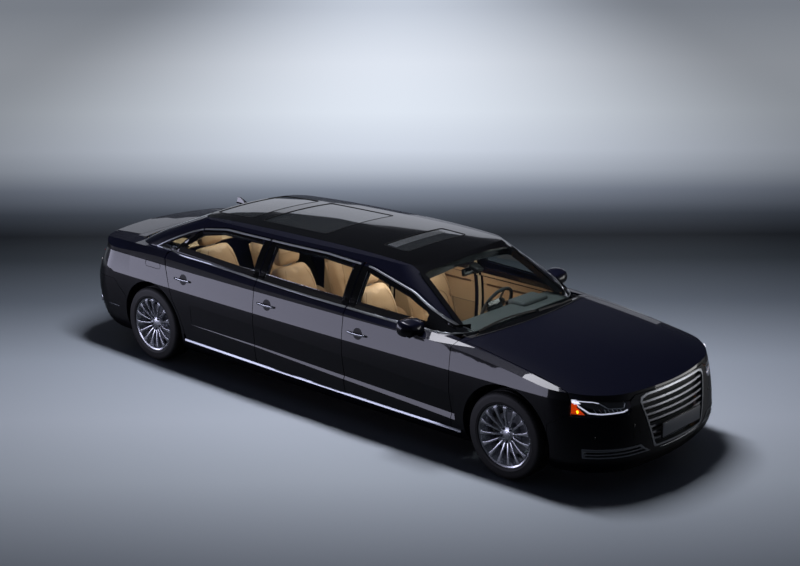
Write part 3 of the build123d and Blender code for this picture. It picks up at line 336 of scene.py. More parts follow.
# Warp-knit polyester on foam: no shine, fine ribs.
headlining, tree, shader, place = finish("warp_knit_headlining", "cdb79a", 0.95, Sheen_Weight=0.3)
knit = add_node(tree, "ShaderNodeTexWave",
                {"Vector": place, "Scale": WAVE_BAND / KNIT, "Distortion": 1.5})
bump = add_node(tree, "ShaderNodeBump", {"Height": knit.outputs["Fac"], "Distance": 0.0004})
tree.links.new(bump.outputs[0], shader.inputs["Normal"])
# Carpet with a cut pile: the tufts stand up and swallow light.
carpet, tree, shader, place = finish("cut_pile_carpet", "a5845f", 1.0, Sheen_Weight=0.5)
noise, bump = roughen(tree, shader, place, 0.004, 0.002, 0.9, 1.0)
tint(tree, shader, noise.outputs["Fac"], "8d6e4d", "b8966e")
# Vinyl skin, slush-moulded: dull, so that the windscreen doesn't mirror it.
dash_skin, tree, shader, place = finish("slush_moulded_dash_skin", "4a4e52", 0.55)
roughen(tree, shader, place, 0.0025, 0.0003, 0.55, 0.7)
# Walnut, sliced and thinly lacquered: brown bands under a low shine.
veneer, tree, shader, place = finish("open_pore_walnut_veneer", "4a2f1c", 0.35, Coat_Weight=0.4)
grain = add_node(tree, "ShaderNodeTexWave",
                 {"Vector": place, "Scale": 12.0, "Distortion": 6.0, "Detail": 3.0},
                 bands_direction="Z")
tint(tree, shader, grain.outputs["Fac"], "3a2313", "6b4427")
# Display glass: black and smooth while the screen is off.
screen_glass, tree, shader, place = finish("dark_display_glass", "050608", 0.05, Coat_Weight=1.0)
roughen(tree, shader, place, 0.05, 0.000005, 0.04, 0.08)
# Reflective sheet on aluminium: pale, with tiny beads.
plate_white, tree, shader, place = finish("reflective_plate_sheet", "d9dbde", 0.35)
cells = add_node(tree, "ShaderNodeTexVoronoi", {"Vector": place, "Scale": 400.0})
tint(tree, shader, cells.outputs["Distance"], "e2e4e7", "c9ccd0")
print("materials", len(bpy.data.materials))

# %% [markdown]
# ## Floor and light
# The floor is a plane whose colour carries painted light and shade, as a lit studio sweep looks: it
# grows darker in a painted band of shade behind the car and light again beyond, and far off a
# painted pool of light keeps its middle brighter than its sides. Near the car its colour is lit by
# the lamp above, so it keeps the shadow. Far away the colour is emission, shown only to the camera,
# to glass and to gloss, and for other rays the floor is dimmed, so that it doesn't light the car
# from
# below and the paint mirrors it dark: painted shade in the car's reflections.
#
# One lamp high above makes the light and the hard shadow. The side, crest, backdrop and front
# lamps are only mirrored, like the strip lights that a car's paint shows in a studio. They could
# light the floor too, but that washes its shadow out. Three small lamps under the roof stand in
# for the daylight that its panes let in, and a dim world fills the rest.

# %% Floor, lamps and world
bpy.ops.mesh.primitive_plane_add(size=160)
floor = bpy.context.object
floor.name = "Floor"
sweep, tree, shader, place = finish("painted_studio_floor", "aab2c4", 0.55, Specular_IOR_Level=0.2)
BEHIND = (-0.671, 0.741, 0.0)    # the way that the sweep runs back
ASIDE = (0.741, 0.671, 0.0)      # and the way across it
NEAR_END, FAR_END = -4.0, 31.0   # where the sweep's colours start and end along it
back = add_node(tree, "ShaderNodeVectorMath", {0: place, 1: BEHIND}, operation="DOT_PRODUCT")
span = add_node(tree, "ShaderNodeMapRange",
                {"Value": back.outputs["Value"], "From Min": NEAR_END, "From Max": FAR_END})
ramp = add_node(tree, "ShaderNodeValToRGB", {"Fac": span.outputs[0]})
# Painted light and shade along the sweep: darker towards the camera's end, a painted band of shade
# a few metres behind the car, and light again far off.
floor_light_and_shade_stops = [(-4.0, "5c626d"), (-2.2, "949ba8"), (-0.9, "a2a9b8"), (0.6, "98a0b0"), (2.6, "646c79"),
         (4.2, "363c44"), (5.3, "1c2026"), (6.4, "3d434d"), (7.8, "6c7380"), (9.1, "9ba2ae"),
         (10.6, "b4bbc7"), (14.0, "c3cad4"), (20.0, "c3c9d3"), (31.0, "acb3bf")]
for index, (metres, code) in enumerate(floor_light_and_shade_stops):
    position = (metres - NEAR_END) / (FAR_END - NEAR_END)
    stop = ramp.color_ramp.elements[index] if index < 2 else ramp.color_ramp.elements.new(position)
    stop.position = position
    stop.color = srgb(code)
tree.links.new(ramp.outputs["Color"], shader.inputs["Emission Color"])
# Painted pool of light: the far floor glows most in its middle and less towards its sides.
across = add_node(tree, "ShaderNodeVectorMath", {0: place, 1: ASIDE}, operation="DOT_PRODUCT")
aside = add_node(tree, "ShaderNodeMath", {0: across.outputs["Value"]}, operation="ABSOLUTE")
middle = add_node(tree, "ShaderNodeMapRange",
                  {"Value": aside.outputs[0], "From Max": 8.0, "To Min": 1.35, "To Max": 0.45},
                  interpolation_type="SMOOTHSTEP")
far = add_node(tree, "ShaderNodeMapRange",
               {"Value": back.outputs["Value"], "From Min": 2.5, "From Max": 7.0})
path_kind = add_node(tree, "ShaderNodeLightPath").outputs
seen = add_node(tree, "ShaderNodeMath",
                {0: path_kind["Is Camera Ray"], 1: path_kind["Is Transmission Ray"]},
                operation="MAXIMUM").outputs[0]
shown_to = add_node(tree, "ShaderNodeMath", {0: seen, 1: path_kind["Is Glossy Ray"]},
                    operation="MAXIMUM").outputs[0]
glow = add_node(tree, "ShaderNodeMath", {0: far.outputs[0], 1: shown_to}, operation="MULTIPLY")
strength = add_node(tree, "ShaderNodeMath", {0: glow.outputs[0], 1: middle.outputs[0]},
                    operation="MULTIPLY")
tree.links.new(strength.outputs[0], shader.inputs["Emission Strength"])
near = add_node(tree, "ShaderNodeMix", {"Factor": far.outputs[0], "A": ramp.outputs["Color"],
                                        "B": (0.0, 0.0, 0.0, 1.0)}, data_type="RGBA")
# Painted shade: for rays other than the camera's and glass's the floor's colour is dimmed, so it
# lights the car little from below and the paint mirrors it dark.
painted_shade_off_camera = add_node(tree, "ShaderNodeMapRange", {"Value": seen, "To Min": 0.14, "To Max": 1.0})
shown = add_node(tree, "ShaderNodeVectorMath", {0: near.outputs["Result"], "Scale": painted_shade_off_camera.outputs[0]},
                 operation="SCALE")
tree.links.new(shown.outputs["Vector"], shader.inputs["Base Color"])
floor.data.materials.append(sweep)

# name, place, aim, width, height, watts, colour, and whether it is only mirrored
LAMPS = [("overhead", (0.2, -0.1, 7.0), (0.2, 0.0, 0.0), 3.2, 0.8, 600, "ffffff", False),
         ("side", (-7.5, -9.5, 2.4), (0.0, -0.8, 0.9), 15.0, 3.6, 640, "e2e2ff", True),
         ("crest", (-1.6, 1.4, 7.0), (-1.3, 1.88, 1.0), 4.5, 1.5, 190, "f4f4ff", True),
         ("backdrop", (-8.0, 8.9, 3.3), (-1.0, 0.0, 1.4), 12.0, 2.0, 34, "eef2ff", True),
         ("front", (6.9, 5.9, 1.5), (3.1, 0.0, 0.6), 5.0, 2.6, 110, "ffffff", True),
         ("cabin_front", (0.35, 0.0, 1.31), (0.35, 0.0, 0.0), 0.6, 0.9, 9.0, "fffdf8", False),
         ("cabin_middle", (-0.60, 0.0, 1.33), (-0.60, 0.0, 0.0), 0.6, 0.9, 3.6, "fffdf8", False),
         ("cabin_rear", (-1.55, 0.0, 1.30), (-1.55, 0.0, 0.0), 0.5, 0.8, 3.0, "fffdf8", False)]
for name, spot, aim, width, height, watts, code, mirrored in LAMPS:
    bpy.ops.object.light_add(type="AREA", location=spot)
    lamp = bpy.context.object
    lamp.name = "lamp_" + name
    lamp.rotation_euler = (Vector(aim) - Vector(spot)).to_track_quat("-Z", "Y").to_euler()
    lamp.data.shape = "RECTANGLE"
    lamp.data.size = width
    lamp.data.size_y = height
    lamp.data.energy = watts
    lamp.data.color = srgb(code)[:3]
    lamp.visible_glossy = mirrored
    lamp.visible_transmission = mirrored
    lamp.visible_diffuse = not mirrored
    lamp.visible_camera = False

world = bpy.data.worlds.new("Studio")
world.use_nodes = True
bpy.context.scene.world = world
tree = world.node_tree
sky = tree.nodes["Background"]
look = add_node(tree, "ShaderNodeSeparateXYZ",
                {"Vector": add_node(tree, "ShaderNodeTexCoord").outputs["Generated"]})
ramp = add_node(tree, "ShaderNodeValToRGB", {"Fac": look.outputs["Z"]})
for index, (position, code) in enumerate([(0.0, "6f7686"), (0.14, "3d4149"), (0.5, "1c1e23"),
                                          (1.0, "4a4f5a")]):
    stop = ramp.color_ramp.elements[index] if index < 2 else ramp.color_ramp.elements.new(position)
    stop.position = position
    stop.color = srgb(code)
tree.links.new(ramp.outputs["Color"], sky.inputs["Color"])
sky.inputs["Strength"].default_value = 0.45
print("lamps", len(LAMPS))

# %% [markdown]
# ## Finishes on the CAD nodes
# The panels, panes and running gear already have their right shape, so only their material slots
# change. They could be copied and replaced, but a slot keeps the real part. The sides get the
# paint with the crowned waist, the rest of the shell the plain one.

# %% Give the CAD nodes their finishes
PLAIN_PAINT = ["roof_rails", "sills", "front_bumper", "rear_bumper", "bonnet", "boot_lid"]
DOORS = ["front_door", "middle_door", "rear_door"]
looks = {"front_wings": side_paint, "rear_quarters": side_paint, "roof_panel": gloss_black,
         "posts": post_finish, "scuttle": grained_black, "grille": satin_silver,
         "lower_intakes": satin_silver, "floor_pan": carpet, "bulkheads": paint,
         "wheel_housings": grained_black, "front_frame": grey_steel, "engine": cast_iron,
         "front_axle": cast_iron, "rear_axle": cast_iron, "exhaust": grey_steel,
         "windscreen": clear_glass, "rear_window": clear_glass, "quarter_glass": clear_glass,
         "roof_glass": roof_glass, "knuckle_left": cast_iron, "knuckle_right": cast_iron}
looks.update({name: paint for name in PLAIN_PAINT})
for door in DOORS:
    for side in ("left", "right"):
        looks[f"{door}_{side}"] = side_paint
        looks[f"{door}_glass_{side}"] = clear_glass
for name, look in looks.items():
    item = nodes[name]
    if not item.material_slots:
        item.data.materials.append(look)
    for place_in in item.material_slots:
        place_in.material = look
print("nodes finished", len(looks), "left", sorted(set(nodes) - set(looks)))

# %% [markdown]
# ## Finding the skin
# Trim lies on curved panels, so its height over the metal has to be measured, not guessed. A
# search tree over the body's triangles answers where a straight line from outside meets the skin.
# Three lines side by side bridge the shut lines.

# %% Skin helpers
SHELL = [name for name in looks
         if name not in ("knuckle_left", "knuckle_right", "front_frame", "engine", "front_axle",
                         "rear_axle", "exhaust", "floor_pan", "bulkheads", "wheel_housings")]


def tree_of(items):
    """Search tree over the triangles of several objects."""
    points, faces = [], []
    for item in items:
        start = len(points)
        points += [vertex.co.copy() for vertex in item.data.vertices]
        faces += [[start + index for index in face.vertices] for face in item.data.polygons]
    return BVHTree.FromPolygons(points, faces)


skin = tree_of([nodes[name] for name in SHELL])
tail_skin = tree_of([nodes[name] for name in SHELL + ["tail_lamps"]])
BRIDGE = 0.009            # half the widest shut line, and a little more


def first_hit(start, direction, shifts, tree=None):
    """The nearest point to the start that any of the shifted lines meets."""
    best = None
    for shift in shifts:
        hit, _, _, far = (tree or skin).ray_cast(Vector(start) + Vector(shift), Vector(direction))
        if hit and (best is None or far < best[1]):
            best = (hit, far)
    return best[0] if best else None


ALONG_X = [(0, 0, 0), (BRIDGE, 0, 0), (-BRIDGE, 0, 0)]
ALONG_Y = [(0, 0, 0), (0, BRIDGE, 0), (0, -BRIDGE, 0)]


def on_side(x, z):
    """Skin of the right side at x and z."""
    hit = first_hit((x, -1.4, z), (0, 1, 0), ALONG_X) or skin.find_nearest(Vector((x, -0.97, z)))[0]
    return Vector((x, hit.y, z)), Vector((0, -1, 0))


def on_nose(y, z):
    """Skin of the nose at y and z."""
    hit = first_hit((4, y, z), (-1, 0, 0), ALONG_Y) or skin.find_nearest(Vector((3.15, y, z)))[0]
    return Vector((hit.x, y, z)), Vector((1, 0, 0))


def on_tail(y, z):
    """Skin of the tail at y and z."""
    hit = first_hit((-4, y, z), (1, 0, 0), ALONG_Y, tail_skin)
    hit = hit or skin.find_nearest(Vector((-3.15, y, z)))[0]
    return Vector((hit.x, y, z)), Vector((-1, 0, 0))


def on_top(x, y):
    """Skin seen from above at x and y."""
    hit = first_hit((x, y, 3), (0, 0, -1), ALONG_X) or skin.find_nearest(Vector((x, y, 1.2)))[0]
    return Vector((x, y, hit.z)), Vector((0, 0, 1))


print("waist on the right", on_side(0.2, 0.8)[0])

# %% [markdown]
# ## Strips, patches and mirrored copies
# A strip of trim is a rolled profile bent along a line. It starts as a grid, each row of which is
# moved onto the skin and crowned in the middle; Solidify then gives it metal behind. A curve with
# a bevel would also do, but it would not stay level on the panel. The car is alike on both sides,
# so the left copy is the right one's mirror image.


# %% Strip and patch helpers
def clear():
    """Leaves edit mode with nothing selected."""
    if bpy.context.object and bpy.context.object.mode != "OBJECT":
        bpy.ops.object.mode_set(mode="OBJECT")
    bpy.ops.object.select_all(action="DESELECT")


def chosen(piece):
    """Makes one piece the only selected and active one."""
    clear()
    piece.select_set(True)
    bpy.context.view_layer.objects.active = piece


def modify(piece, kind, **settings):
    """Adds a modifier and applies it."""
    chosen(piece)
    modifier = piece.modifiers.new(kind, kind)
    for key, value in settings.items():
        setattr(modifier, key, value)
    bpy.ops.object.modifier_apply(modifier=modifier.name)


carrier = {}


def done(piece, material, body, slot_name, angle=35, replaced=()):
    """Shades a piece, gives it its finish and says what it rides on."""
    chosen(piece)
    bpy.ops.object.transform_apply(location=True, rotation=True, scale=True)
    bpy.ops.object.shade_smooth_by_angle(angle=math.radians(angle))
    if not piece.data.materials:
        piece.data.materials.append(material)
    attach(piece, body)
    carrier[piece.name] = (body, slot_name)
    if replaced:
        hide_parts(*replaced)
    return piece


def grid(name, columns, rows, put):
    """A grid primitive whose vertex in column i and row j is moved to put(i, j)."""
    clear()
    bpy.ops.mesh.primitive_grid_add(x_subdivisions=columns - 1, y_subdivisions=rows - 1, size=2)
    piece = bpy.context.object
    piece.name = name
    for vertex in piece.data.vertices:
        i = round((vertex.co.x + 1) / 2 * (columns - 1))
        j = round((vertex.co.y + 1) / 2 * (rows - 1))
        vertex.co = put(i, j)
    return piece


def fine(points, step=0.06, rounds=2, closed=False):
    """The line divided into steps, then its corners cut off."""
    ring = points + points[:1] if closed else points
    line = []
    for first, last in zip(ring, ring[1:]):
        count = max(1, round(math.dist(first, last) / step))
        line += [tuple(a + (b - a) * k / count for a, b in zip(first, last)) for k in range(count)]
    if not closed:
        line.append(ring[-1])
    for _ in range(rounds):
        pairs = list(zip(line, line[1:] + line[:1])) if closed else list(zip(line, line[1:]))
        cut = [tuple(a * (1 - t) + b * t for a, b in zip(*pair)) for pair in pairs
               for t in (0.25, 0.75)]
        line = cut if closed else [line[0]] + cut + [line[-1]]
    return line


# Profiles of a strip: share of its half width, and share of its rise.
CROWN = [(-1.0, 0.15), (-0.55, 0.85), (0.0, 1.0), (0.55, 0.85), (1.0, 0.15)]
FLAT = [(-1, 1), (0, 1), (1, 1)]


def strip(name, line, width, lift, on, closed=False, crown=CROWN):
    """A crowned strip along a line of skin coordinates."""
    count = len(line)
    feet = [on(*point) for point in line]

    def put(i, j):
        index = i % count
        before = Vector(line[index - 1 if index or closed else 0])
        after = Vector(line[(index + 1) % count if closed else min(index + 1, count - 1)])
        along = (after - before).normalized()
        share, rise = crown[j]
        offset = Vector((-along.y, along.x)) * share * width / 2
        spot, out = on(line[index][0] + offset.x, line[index][1] + offset.y)
        level = (spot - feet[index][0]).dot(out)
        if abs(level) > width:
            spot = spot - out * level
        return spot, out * lift * rise

    rows = [[put(i, j) for i in range(count + 1 if closed else count)] for j in range(len(crown))]
    for row in rows:
        for _ in range(6):
            for i in range(1, len(row) - 1):
                spot = (row[i - 1][0] + row[i][0] * 2 + row[i + 1][0]) / 4
                out = row[i][1].normalized() if row[i][1].length else Vector((0, 0, 0))
                row[i] = (row[i][0] + out * (spot - row[i][0]).dot(out), row[i][1])
    piece = grid(name, len(rows[0]), len(crown), lambda i, j: rows[j][i][0] + rows[j][i][1])
    if closed:
        modify(piece, "WELD", merge_threshold=0.00005)
    outward(piece, on, line)
    modify(piece, "SOLIDIFY", thickness=lift * 0.6 + 0.0015, offset=-1.0)
    return piece


def outward(piece, on, line):
    """Turns a sheet's faces the way that the skin faces."""
    out = on(*line[len(line) // 2])[1]
    total = sum((face.normal * face.area for face in piece.data.polygons), Vector())
    middle = piece.data.polygons[len(piece.data.polygons) // 2].normal
    if (total.dot(out) or middle.dot(out)) < 0:
        piece.data.flip_normals()


def divide(point, normal):
    """Divides the active piece along a plane."""
    bpy.ops.object.mode_set(mode="EDIT")
    bpy.ops.mesh.select_all(action="SELECT")
    bpy.ops.mesh.bisect(plane_co=point, plane_no=normal)
    bpy.ops.object.mode_set(mode="OBJECT")


def patch(name, low, high, rows, lift, on, thickness=0.0015):
    """A sheet between two lines of skin coordinates, a little above the skin."""
    def put(i, j):
        share = j / (rows - 1)
        spot, out = on(*[a + (b - a) * share for a, b in zip(low[i], high[i])])
        return spot + out * lift

    piece = grid(name, len(low), rows, put)
    outward(piece, on, low)
    modify(piece, "SOLIDIFY", thickness=thickness, offset=-1.0)
    return piece


def to_left(piece):
    """Copy of a right-hand piece on the left side, on the left body."""
    clear()
    other = piece.copy()
    other.data = piece.data.copy()
    bpy.context.collection.objects.link(other)
    for vertex in other.data.vertices:
        vertex.co.y = -vertex.co.y
    other.data.flip_normals()
    base = piece.name
    other.name = base.replace("_right", "_left") if "_right" in base else base + "_left"
    body, slot_name = carrier[base]
    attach(other, body.replace("_right", "_left"))
    return other


print("strip profiles of", len(CROWN), "and", len(FLAT), "points")


# %% [markdown]
# ## Bright lines round the side windows
# On the real car a polished strip follows the waist from the mirror to a rounded point behind the
# small rear pane, and another runs back over the doors. Each door carries its own length, so the
# strips are split at the shut lines, and each swings with its door. A few measured points are
# enough: cutting the corners off rounds the line.

# %% Window lines
WAIST_LINE = [(1.636, 1.000), (0.475, 1.037), (-0.640, 1.064), (-1.300, 1.086), (-2.046, 1.098)]
ROOF_LINE = [(1.636, 1.000), (1.084, 1.250), (0.592, 1.354), (0.080, 1.384), (-0.600, 1.379),
             (-1.200, 1.370), (-1.500, 1.328), (-1.640, 1.284), (-1.800, 1.219), (-1.950, 1.150),
             (-2.046, 1.098)]
WAIST_SMOOTH = fine(WAIST_LINE, 0.08)
ROOF_SMOOTH = fine(ROOF_LINE, 0.08)
SPANS = {"front_door_right": (0.498, 1.636), "middle_door_right": (-0.588, 0.482),
         "rear_door_right": (-1.492, -0.604)}


def at(line, x):
    """Height of a line at x."""
    for (x0, z0), (x1, z1) in zip(line, line[1:]):
        if min(x0, x1) <= x <= max(x0, x1):
            return z0 + (z1 - z0) * (x - x0) / ((x1 - x0) or 1)
    return line[0][1] if x > line[0][0] else line[-1][1]


def between(line, x0, x1, drop=0.0):
    """The part of a line between two x, with exact ends, lowered by drop."""
    inner = [(x, z - drop) for x, z in line if x0 + 0.012 < x < x1 - 0.012]
    return [(x1, at(line, x1) - drop)] + inner + [(x0, at(line, x0) - drop)]


side_trim = []
for body, (x0, x1) in SPANS.items():
    low = -1.818 if body.startswith("rear") else x0
    piece = strip("waist_trim_" + body, between(WAIST_SMOOTH, low, x1), 0.015, 0.008, on_side)
    side_trim.append(done(piece, satin_silver, body, "chrome"))
    piece = strip("roof_trim_" + body, between(ROOF_SMOOTH, x0, x1 - 0.012), 0.013, 0.007, on_side)
    side_trim.append(done(piece, satin_silver, body, "chrome"))
    piece = strip("window_head_" + body, between(ROOF_SMOOTH, x0, x1 - 0.10, 0.018), 0.024, 0.0015,
                  on_side, crown=FLAT)
    side_trim.append(done(piece, gloss_black, body, "black_gloss"))
    seal_line = [(x, z + 0.031)
                 for x, z in between(WAIST_SMOOTH, x0 if x0 > -1.4 else -1.72, x1 - 0.05)]
    piece = strip("waist_seal_" + body, seal_line, 0.046, 0.003, on_side, crown=FLAT)
    side_trim.append(done(piece, seal_rubber, body, "black_plastic"))
tip = between(WAIST_SMOOTH, -2.046, -1.832)
sweep_line = between(ROOF_SMOOTH, -2.046, -1.512)
piece = strip("quarter_trim_right", fine(tip + sweep_line[::-1], 0.05, 2), 0.013, 0.007, on_side)
side_trim.append(done(piece, satin_silver, "body", "chrome"))
pane = [(-1.783, 1.106), (-1.585, 1.279), (-1.672, 1.264), (-2.012, 1.108)]
piece = strip("quarter_seal_right", fine(pane, 0.05, 1, closed=True), 0.022, 0.0012, on_side,
              closed=True, crown=FLAT)
side_trim.append(done(piece, seal_rubber, "body", "black_plastic"))
piece = strip("rear_frame_rear_door_right",
              fine([(-1.497, 1.302), (-1.640, 1.200), (-1.764, 1.112)], 0.05), 0.032, 0.0015,
              on_side, crown=FLAT)
side_trim.append(done(piece, gloss_black, "rear_door_right", "black_gloss"))
print("window strips", len(side_trim))

# %% [markdown]
# ## Posts, sail and sill strip
# The wide posts between the windows are gloss black covers clipped to each door's frame. A black
# sail fills the window's front corner behind the mirror, and a bright strip crowns the sill. The
# covers could be flat boxes, but they would stand off the curved doors, so each is a sheet laid
# on the skin between two lines.

# %% Post covers, sail and sill strip
POSTS = [("front_door_right", 0.4965, 0.566), ("middle_door_right", 0.414, 0.4835),
         ("middle_door_right", -0.5895, -0.520), ("rear_door_right", -0.672, -0.6025)]
for number, (body, x0, x1) in enumerate(POSTS):
    columns = [x0, x0 + 0.004, (x0 + x1) / 2, x1 - 0.004, x1]
    low = [(x, at(WAIST_SMOOTH, x) + 0.006) for x in columns]
    high = [(x, at(ROOF_SMOOTH, x) - 0.005) for x in columns]
    piece = patch(f"post_cover_{number}_right", low, high, 12, 0.0022, on_side, 0.002)
    side_trim.append(done(piece, gloss_black, body, "black_gloss"))
    edge = x1 if number in (0, 2) else x0
    line = [(edge, z) for z in (low[2][1] + 0.03, 1.16, 1.24, high[2][1] - 0.035)]
    piece = strip(f"post_bead_{number}_right", fine(line, 0.08, 0), 0.004, 0.0035, on_side)
    side_trim.append(done(piece, satin_silver, body, "chrome"))
low = [(x, at(WAIST_SMOOTH, x) + 0.005) for x in (1.30, 1.38, 1.46, 1.53, 1.60)]
high = [(x, max(at(ROOF_SMOOTH, x) - 0.006, z + 0.002)) for x, z in low]
piece = patch("mirror_sail_right", low, [(x, min(z, 1.030 + (1.60 - x) * 0.50)) for x, z in high],
              6, 0.003, on_side)
side_trim.append(done(piece, gloss_black, "front_door_right", "black_gloss"))
SILL_LINE = [(1.742, 0.2715), (-1.575, 0.3010)]
piece = strip("sill_trim_right", fine(SILL_LINE, 0.12, 0), 0.020, 0.012, on_side,
              crown=[(-1.0, 0.0), (-0.9, 0.2), (0.0, 0.62), (0.8, 1.0), (1.0, 0.4)])
side_trim.append(done(piece, satin_silver, "body", "chrome"))
print("side trim", len(side_trim))

# %% [markdown]
# ## Door handles
# Each handle is a chromed bow over a round bowl that fingers reach into. The bowl is a disc
# pressed onto the skin, dark with painted shade of its recess; the bow starts as a cube, is divided
# along its length, and its middle is pulled out before the edges are rounded.

# %% Door handles
HALF_BOW = 0.108          # half a handle's length
BOW_CUT = 0.018           # distance between the cuts along it
HANDLES = {"front_door_right": (0.660, 0.857), "middle_door_right": (-0.428, 0.880),
           "rear_door_right": (-1.555, 0.888)}
for body, (x, z) in HANDLES.items():
    spot = on_side(x, z)[0]
    clear()
    bpy.ops.mesh.primitive_circle_add(vertices=40, radius=0.049, fill_type="NGON",
                                      rotation=(math.pi / 2, 0, 0),
                                      location=(x + 0.008, spot.y - 0.0018, z))
    bowl_shade = bpy.context.object
    bowl_shade.name = "handle_bowl_" + body
    bpy.ops.object.transform_apply(location=True, rotation=True)
    bpy.ops.object.mode_set(mode="EDIT")
    bpy.ops.mesh.select_all(action="SELECT")
    bpy.ops.mesh.inset(thickness=0.006, depth=0.0)
    bpy.ops.mesh.inset(thickness=0.012, depth=-0.0008)
    bpy.ops.object.mode_set(mode="OBJECT")
    for vertex in bowl_shade.data.vertices:
        vertex.co.y = on_side(vertex.co.x, vertex.co.z)[0].y - 0.0018
    if bowl_shade.data.polygons[0].normal.y > 0:
        bowl_shade.data.flip_normals()
    modify(bowl_shade, "SOLIDIFY", thickness=0.003, offset=-1.0)
    # Painted shade: the bowl's recess is drawn as dark grained plastic on the skin.
    side_trim.append(done(bowl_shade, grained_black, body, "black_gloss"))
    clear()
    bpy.ops.mesh.primitive_cube_add(size=1, location=(x, spot.y - 0.010, z),
                                    scale=(0.216, 0.014, 0.021))
    bow = bpy.context.object
    bow.name = "handle_bow_" + body
    bpy.ops.object.transform_apply(location=True, rotation=True, scale=True)
    for number in range(1, 12):
        divide((x - HALF_BOW + BOW_CUT * number, 0, 0), (1, 0, 0))
    for vertex in bow.data.vertices:
        share = (vertex.co.x - x) / HALF_BOW
        vertex.co.y -= 0.018 * (1 - share ** 2)
        vertex.co.z = z + (vertex.co.z - z) * (1 - 0.35 * share ** 4)
    modify(bow, "BEVEL", width=0.0045, segments=3, limit_method="ANGLE",
           angle_limit=math.radians(50))
    side_trim.append(done(bow, bright, body, "chrome"))
print("handles", len(HANDLES))

# %% [markdown]
# ## The left side of the trim
# The car is alike on both sides, so each piece of trim so far gets its mirror image. A Mirror
# modifier would keep both halves in one object, but the left piece has to ride on the left door,
# so it is a copy with its own mesh.

# %% Mirror the side trim
for piece in side_trim:
    to_left(piece)
print("mirrored", len(side_trim))

# %% [markdown]
# ## Wheels
# A cast wheel of this size has a stepped barrel, a hub with five bolts and a cap, and here
# fifteen slim spokes that widen where they meet the rim. The barrel and the tyre are closed
# profiles spun round the axle. One spoke is shaped from a cube and copied round. The tyre gets
# four grooves, a rim guard and shallow sidewall rings. A Screw modifier would turn the profiles
# too; the spin operator leaves a plain mesh at once.

# %% Turned profiles
STEPS = 120


def turned(name, profile, steps=STEPS):
    """Closed profile of (radius, y) points, spun round the Y axis."""
    clear()
    bpy.ops.mesh.primitive_circle_add(vertices=len(profile), radius=1)
    piece = bpy.context.object
    piece.name = name
    for vertex, (radius, y) in zip(piece.data.vertices, profile):
        vertex.co = Vector((0, y, radius))
    bpy.ops.object.mode_set(mode="EDIT")
    bpy.ops.mesh.select_all(action="SELECT")
    bpy.ops.mesh.spin(steps=steps, angle=2 * math.pi, center=(0, 0, 0), axis=(0, 1, 0))
    bpy.ops.mesh.select_all(action="SELECT")
    bpy.ops.mesh.remove_doubles(threshold=0.00002)
    bpy.ops.mesh.normals_make_consistent(inside=False)
    bpy.ops.object.mode_set(mode="OBJECT")
    return piece


def block(name, size, at_point, bevel=0.002, segments=2, turn=(0, 0, 0)):
    """Bevelled block about its own middle."""
    clear()
    bpy.ops.mesh.primitive_cube_add(size=1, location=at_point, scale=size, rotation=turn)
    piece = bpy.context.object
    piece.name = name
    bpy.ops.object.transform_apply(location=True, rotation=True, scale=True)
    if bevel:
        modify(piece, "BEVEL", width=bevel, segments=segments, limit_method="ANGLE")
    return piece


def copied(piece, matrix):
    """Copy of a piece with its own mesh, moved by a matrix."""
    other = piece.copy()
    other.data = piece.data.copy()
    other.data.transform(matrix)
    bpy.context.collection.objects.link(other)
    return other


def joined(items, name):
    """One object made of several."""
    clear()
    for item in items:
        item.select_set(True)
    bpy.context.view_layer.objects.active = items[0]
    bpy.ops.object.join()
    items[0].name = name
    return items[0]



print("a turned piece has", STEPS, "steps")

# %% [markdown]
# ## One wheel
# All four wheels are alike, so one is built about the origin with its outer face towards -Y, and
# copied to its places later. The spokes flare where they meet the rim, as castings do to spread
# the load, and five bolts sit round the hub.

# %% One wheel about the origin, its outer face towards -Y
SPOKES = 15
BOLTS = 5
SPOKE_FOOT = 0.062        # radius where a spoke starts
SPOKE_LENGTH = 0.176
barrel = turned("barrel",
                [(0.252, 0.116), (0.236, 0.112), (0.231, 0.090), (0.208, 0.080), (0.206, -0.050),
                 (0.226, -0.092), (0.236, -0.100), (0.240, -0.110), (0.252, -0.117),
                 (0.2535, -0.113), (0.2535, -0.108), (0.243, -0.096), (0.232, -0.086),
                 (0.214, -0.050), (0.214, 0.076), (0.238, 0.086), (0.2535, 0.108)])
hub = turned("hub",
             [(0.001, -0.086), (0.030, -0.086), (0.036, -0.083), (0.070, -0.078), (0.080, -0.070),
              (0.082, -0.050), (0.072, -0.030), (0.001, -0.028)], 60)
cap = turned("cap",
             [(0.001, -0.0925), (0.022, -0.0920), (0.030, -0.0895), (0.0315, -0.085),
              (0.001, -0.085)], 60)
clear()
bpy.ops.mesh.primitive_cube_add(size=1, location=(0, -0.090, 0.150),
                                scale=(0.016, 0.022, SPOKE_LENGTH))
spoke = bpy.context.object
spoke.name = "spoke"
bpy.ops.object.transform_apply(location=True, rotation=True, scale=True)
for share in (0.2, 0.45, 0.65, 0.8, 0.9):
    divide((0, 0, SPOKE_FOOT + SPOKE_LENGTH * share), (0, 0, 1))
for vertex in spoke.data.vertices:
    share = (vertex.co.z - SPOKE_FOOT) / SPOKE_LENGTH
    flare = 0.86 + 0.35 * share + 1.25 * max(0.0, share - 0.72) / 0.28
    vertex.co.x *= flare * (1.0 if vertex.co.y < -0.09 else 1.25)
    vertex.co.y += 0.014 - 0.030 * math.sin(share * math.pi * 0.55)
modify(spoke, "BEVEL", width=0.0035, segments=3, limit_method="ANGLE", angle_limit=math.radians(40))
spokes = [copied(spoke, Matrix.Rotation(2 * math.pi * k / SPOKES, 4, "Y")) for k in range(SPOKES)]
bpy.data.objects.remove(spoke)
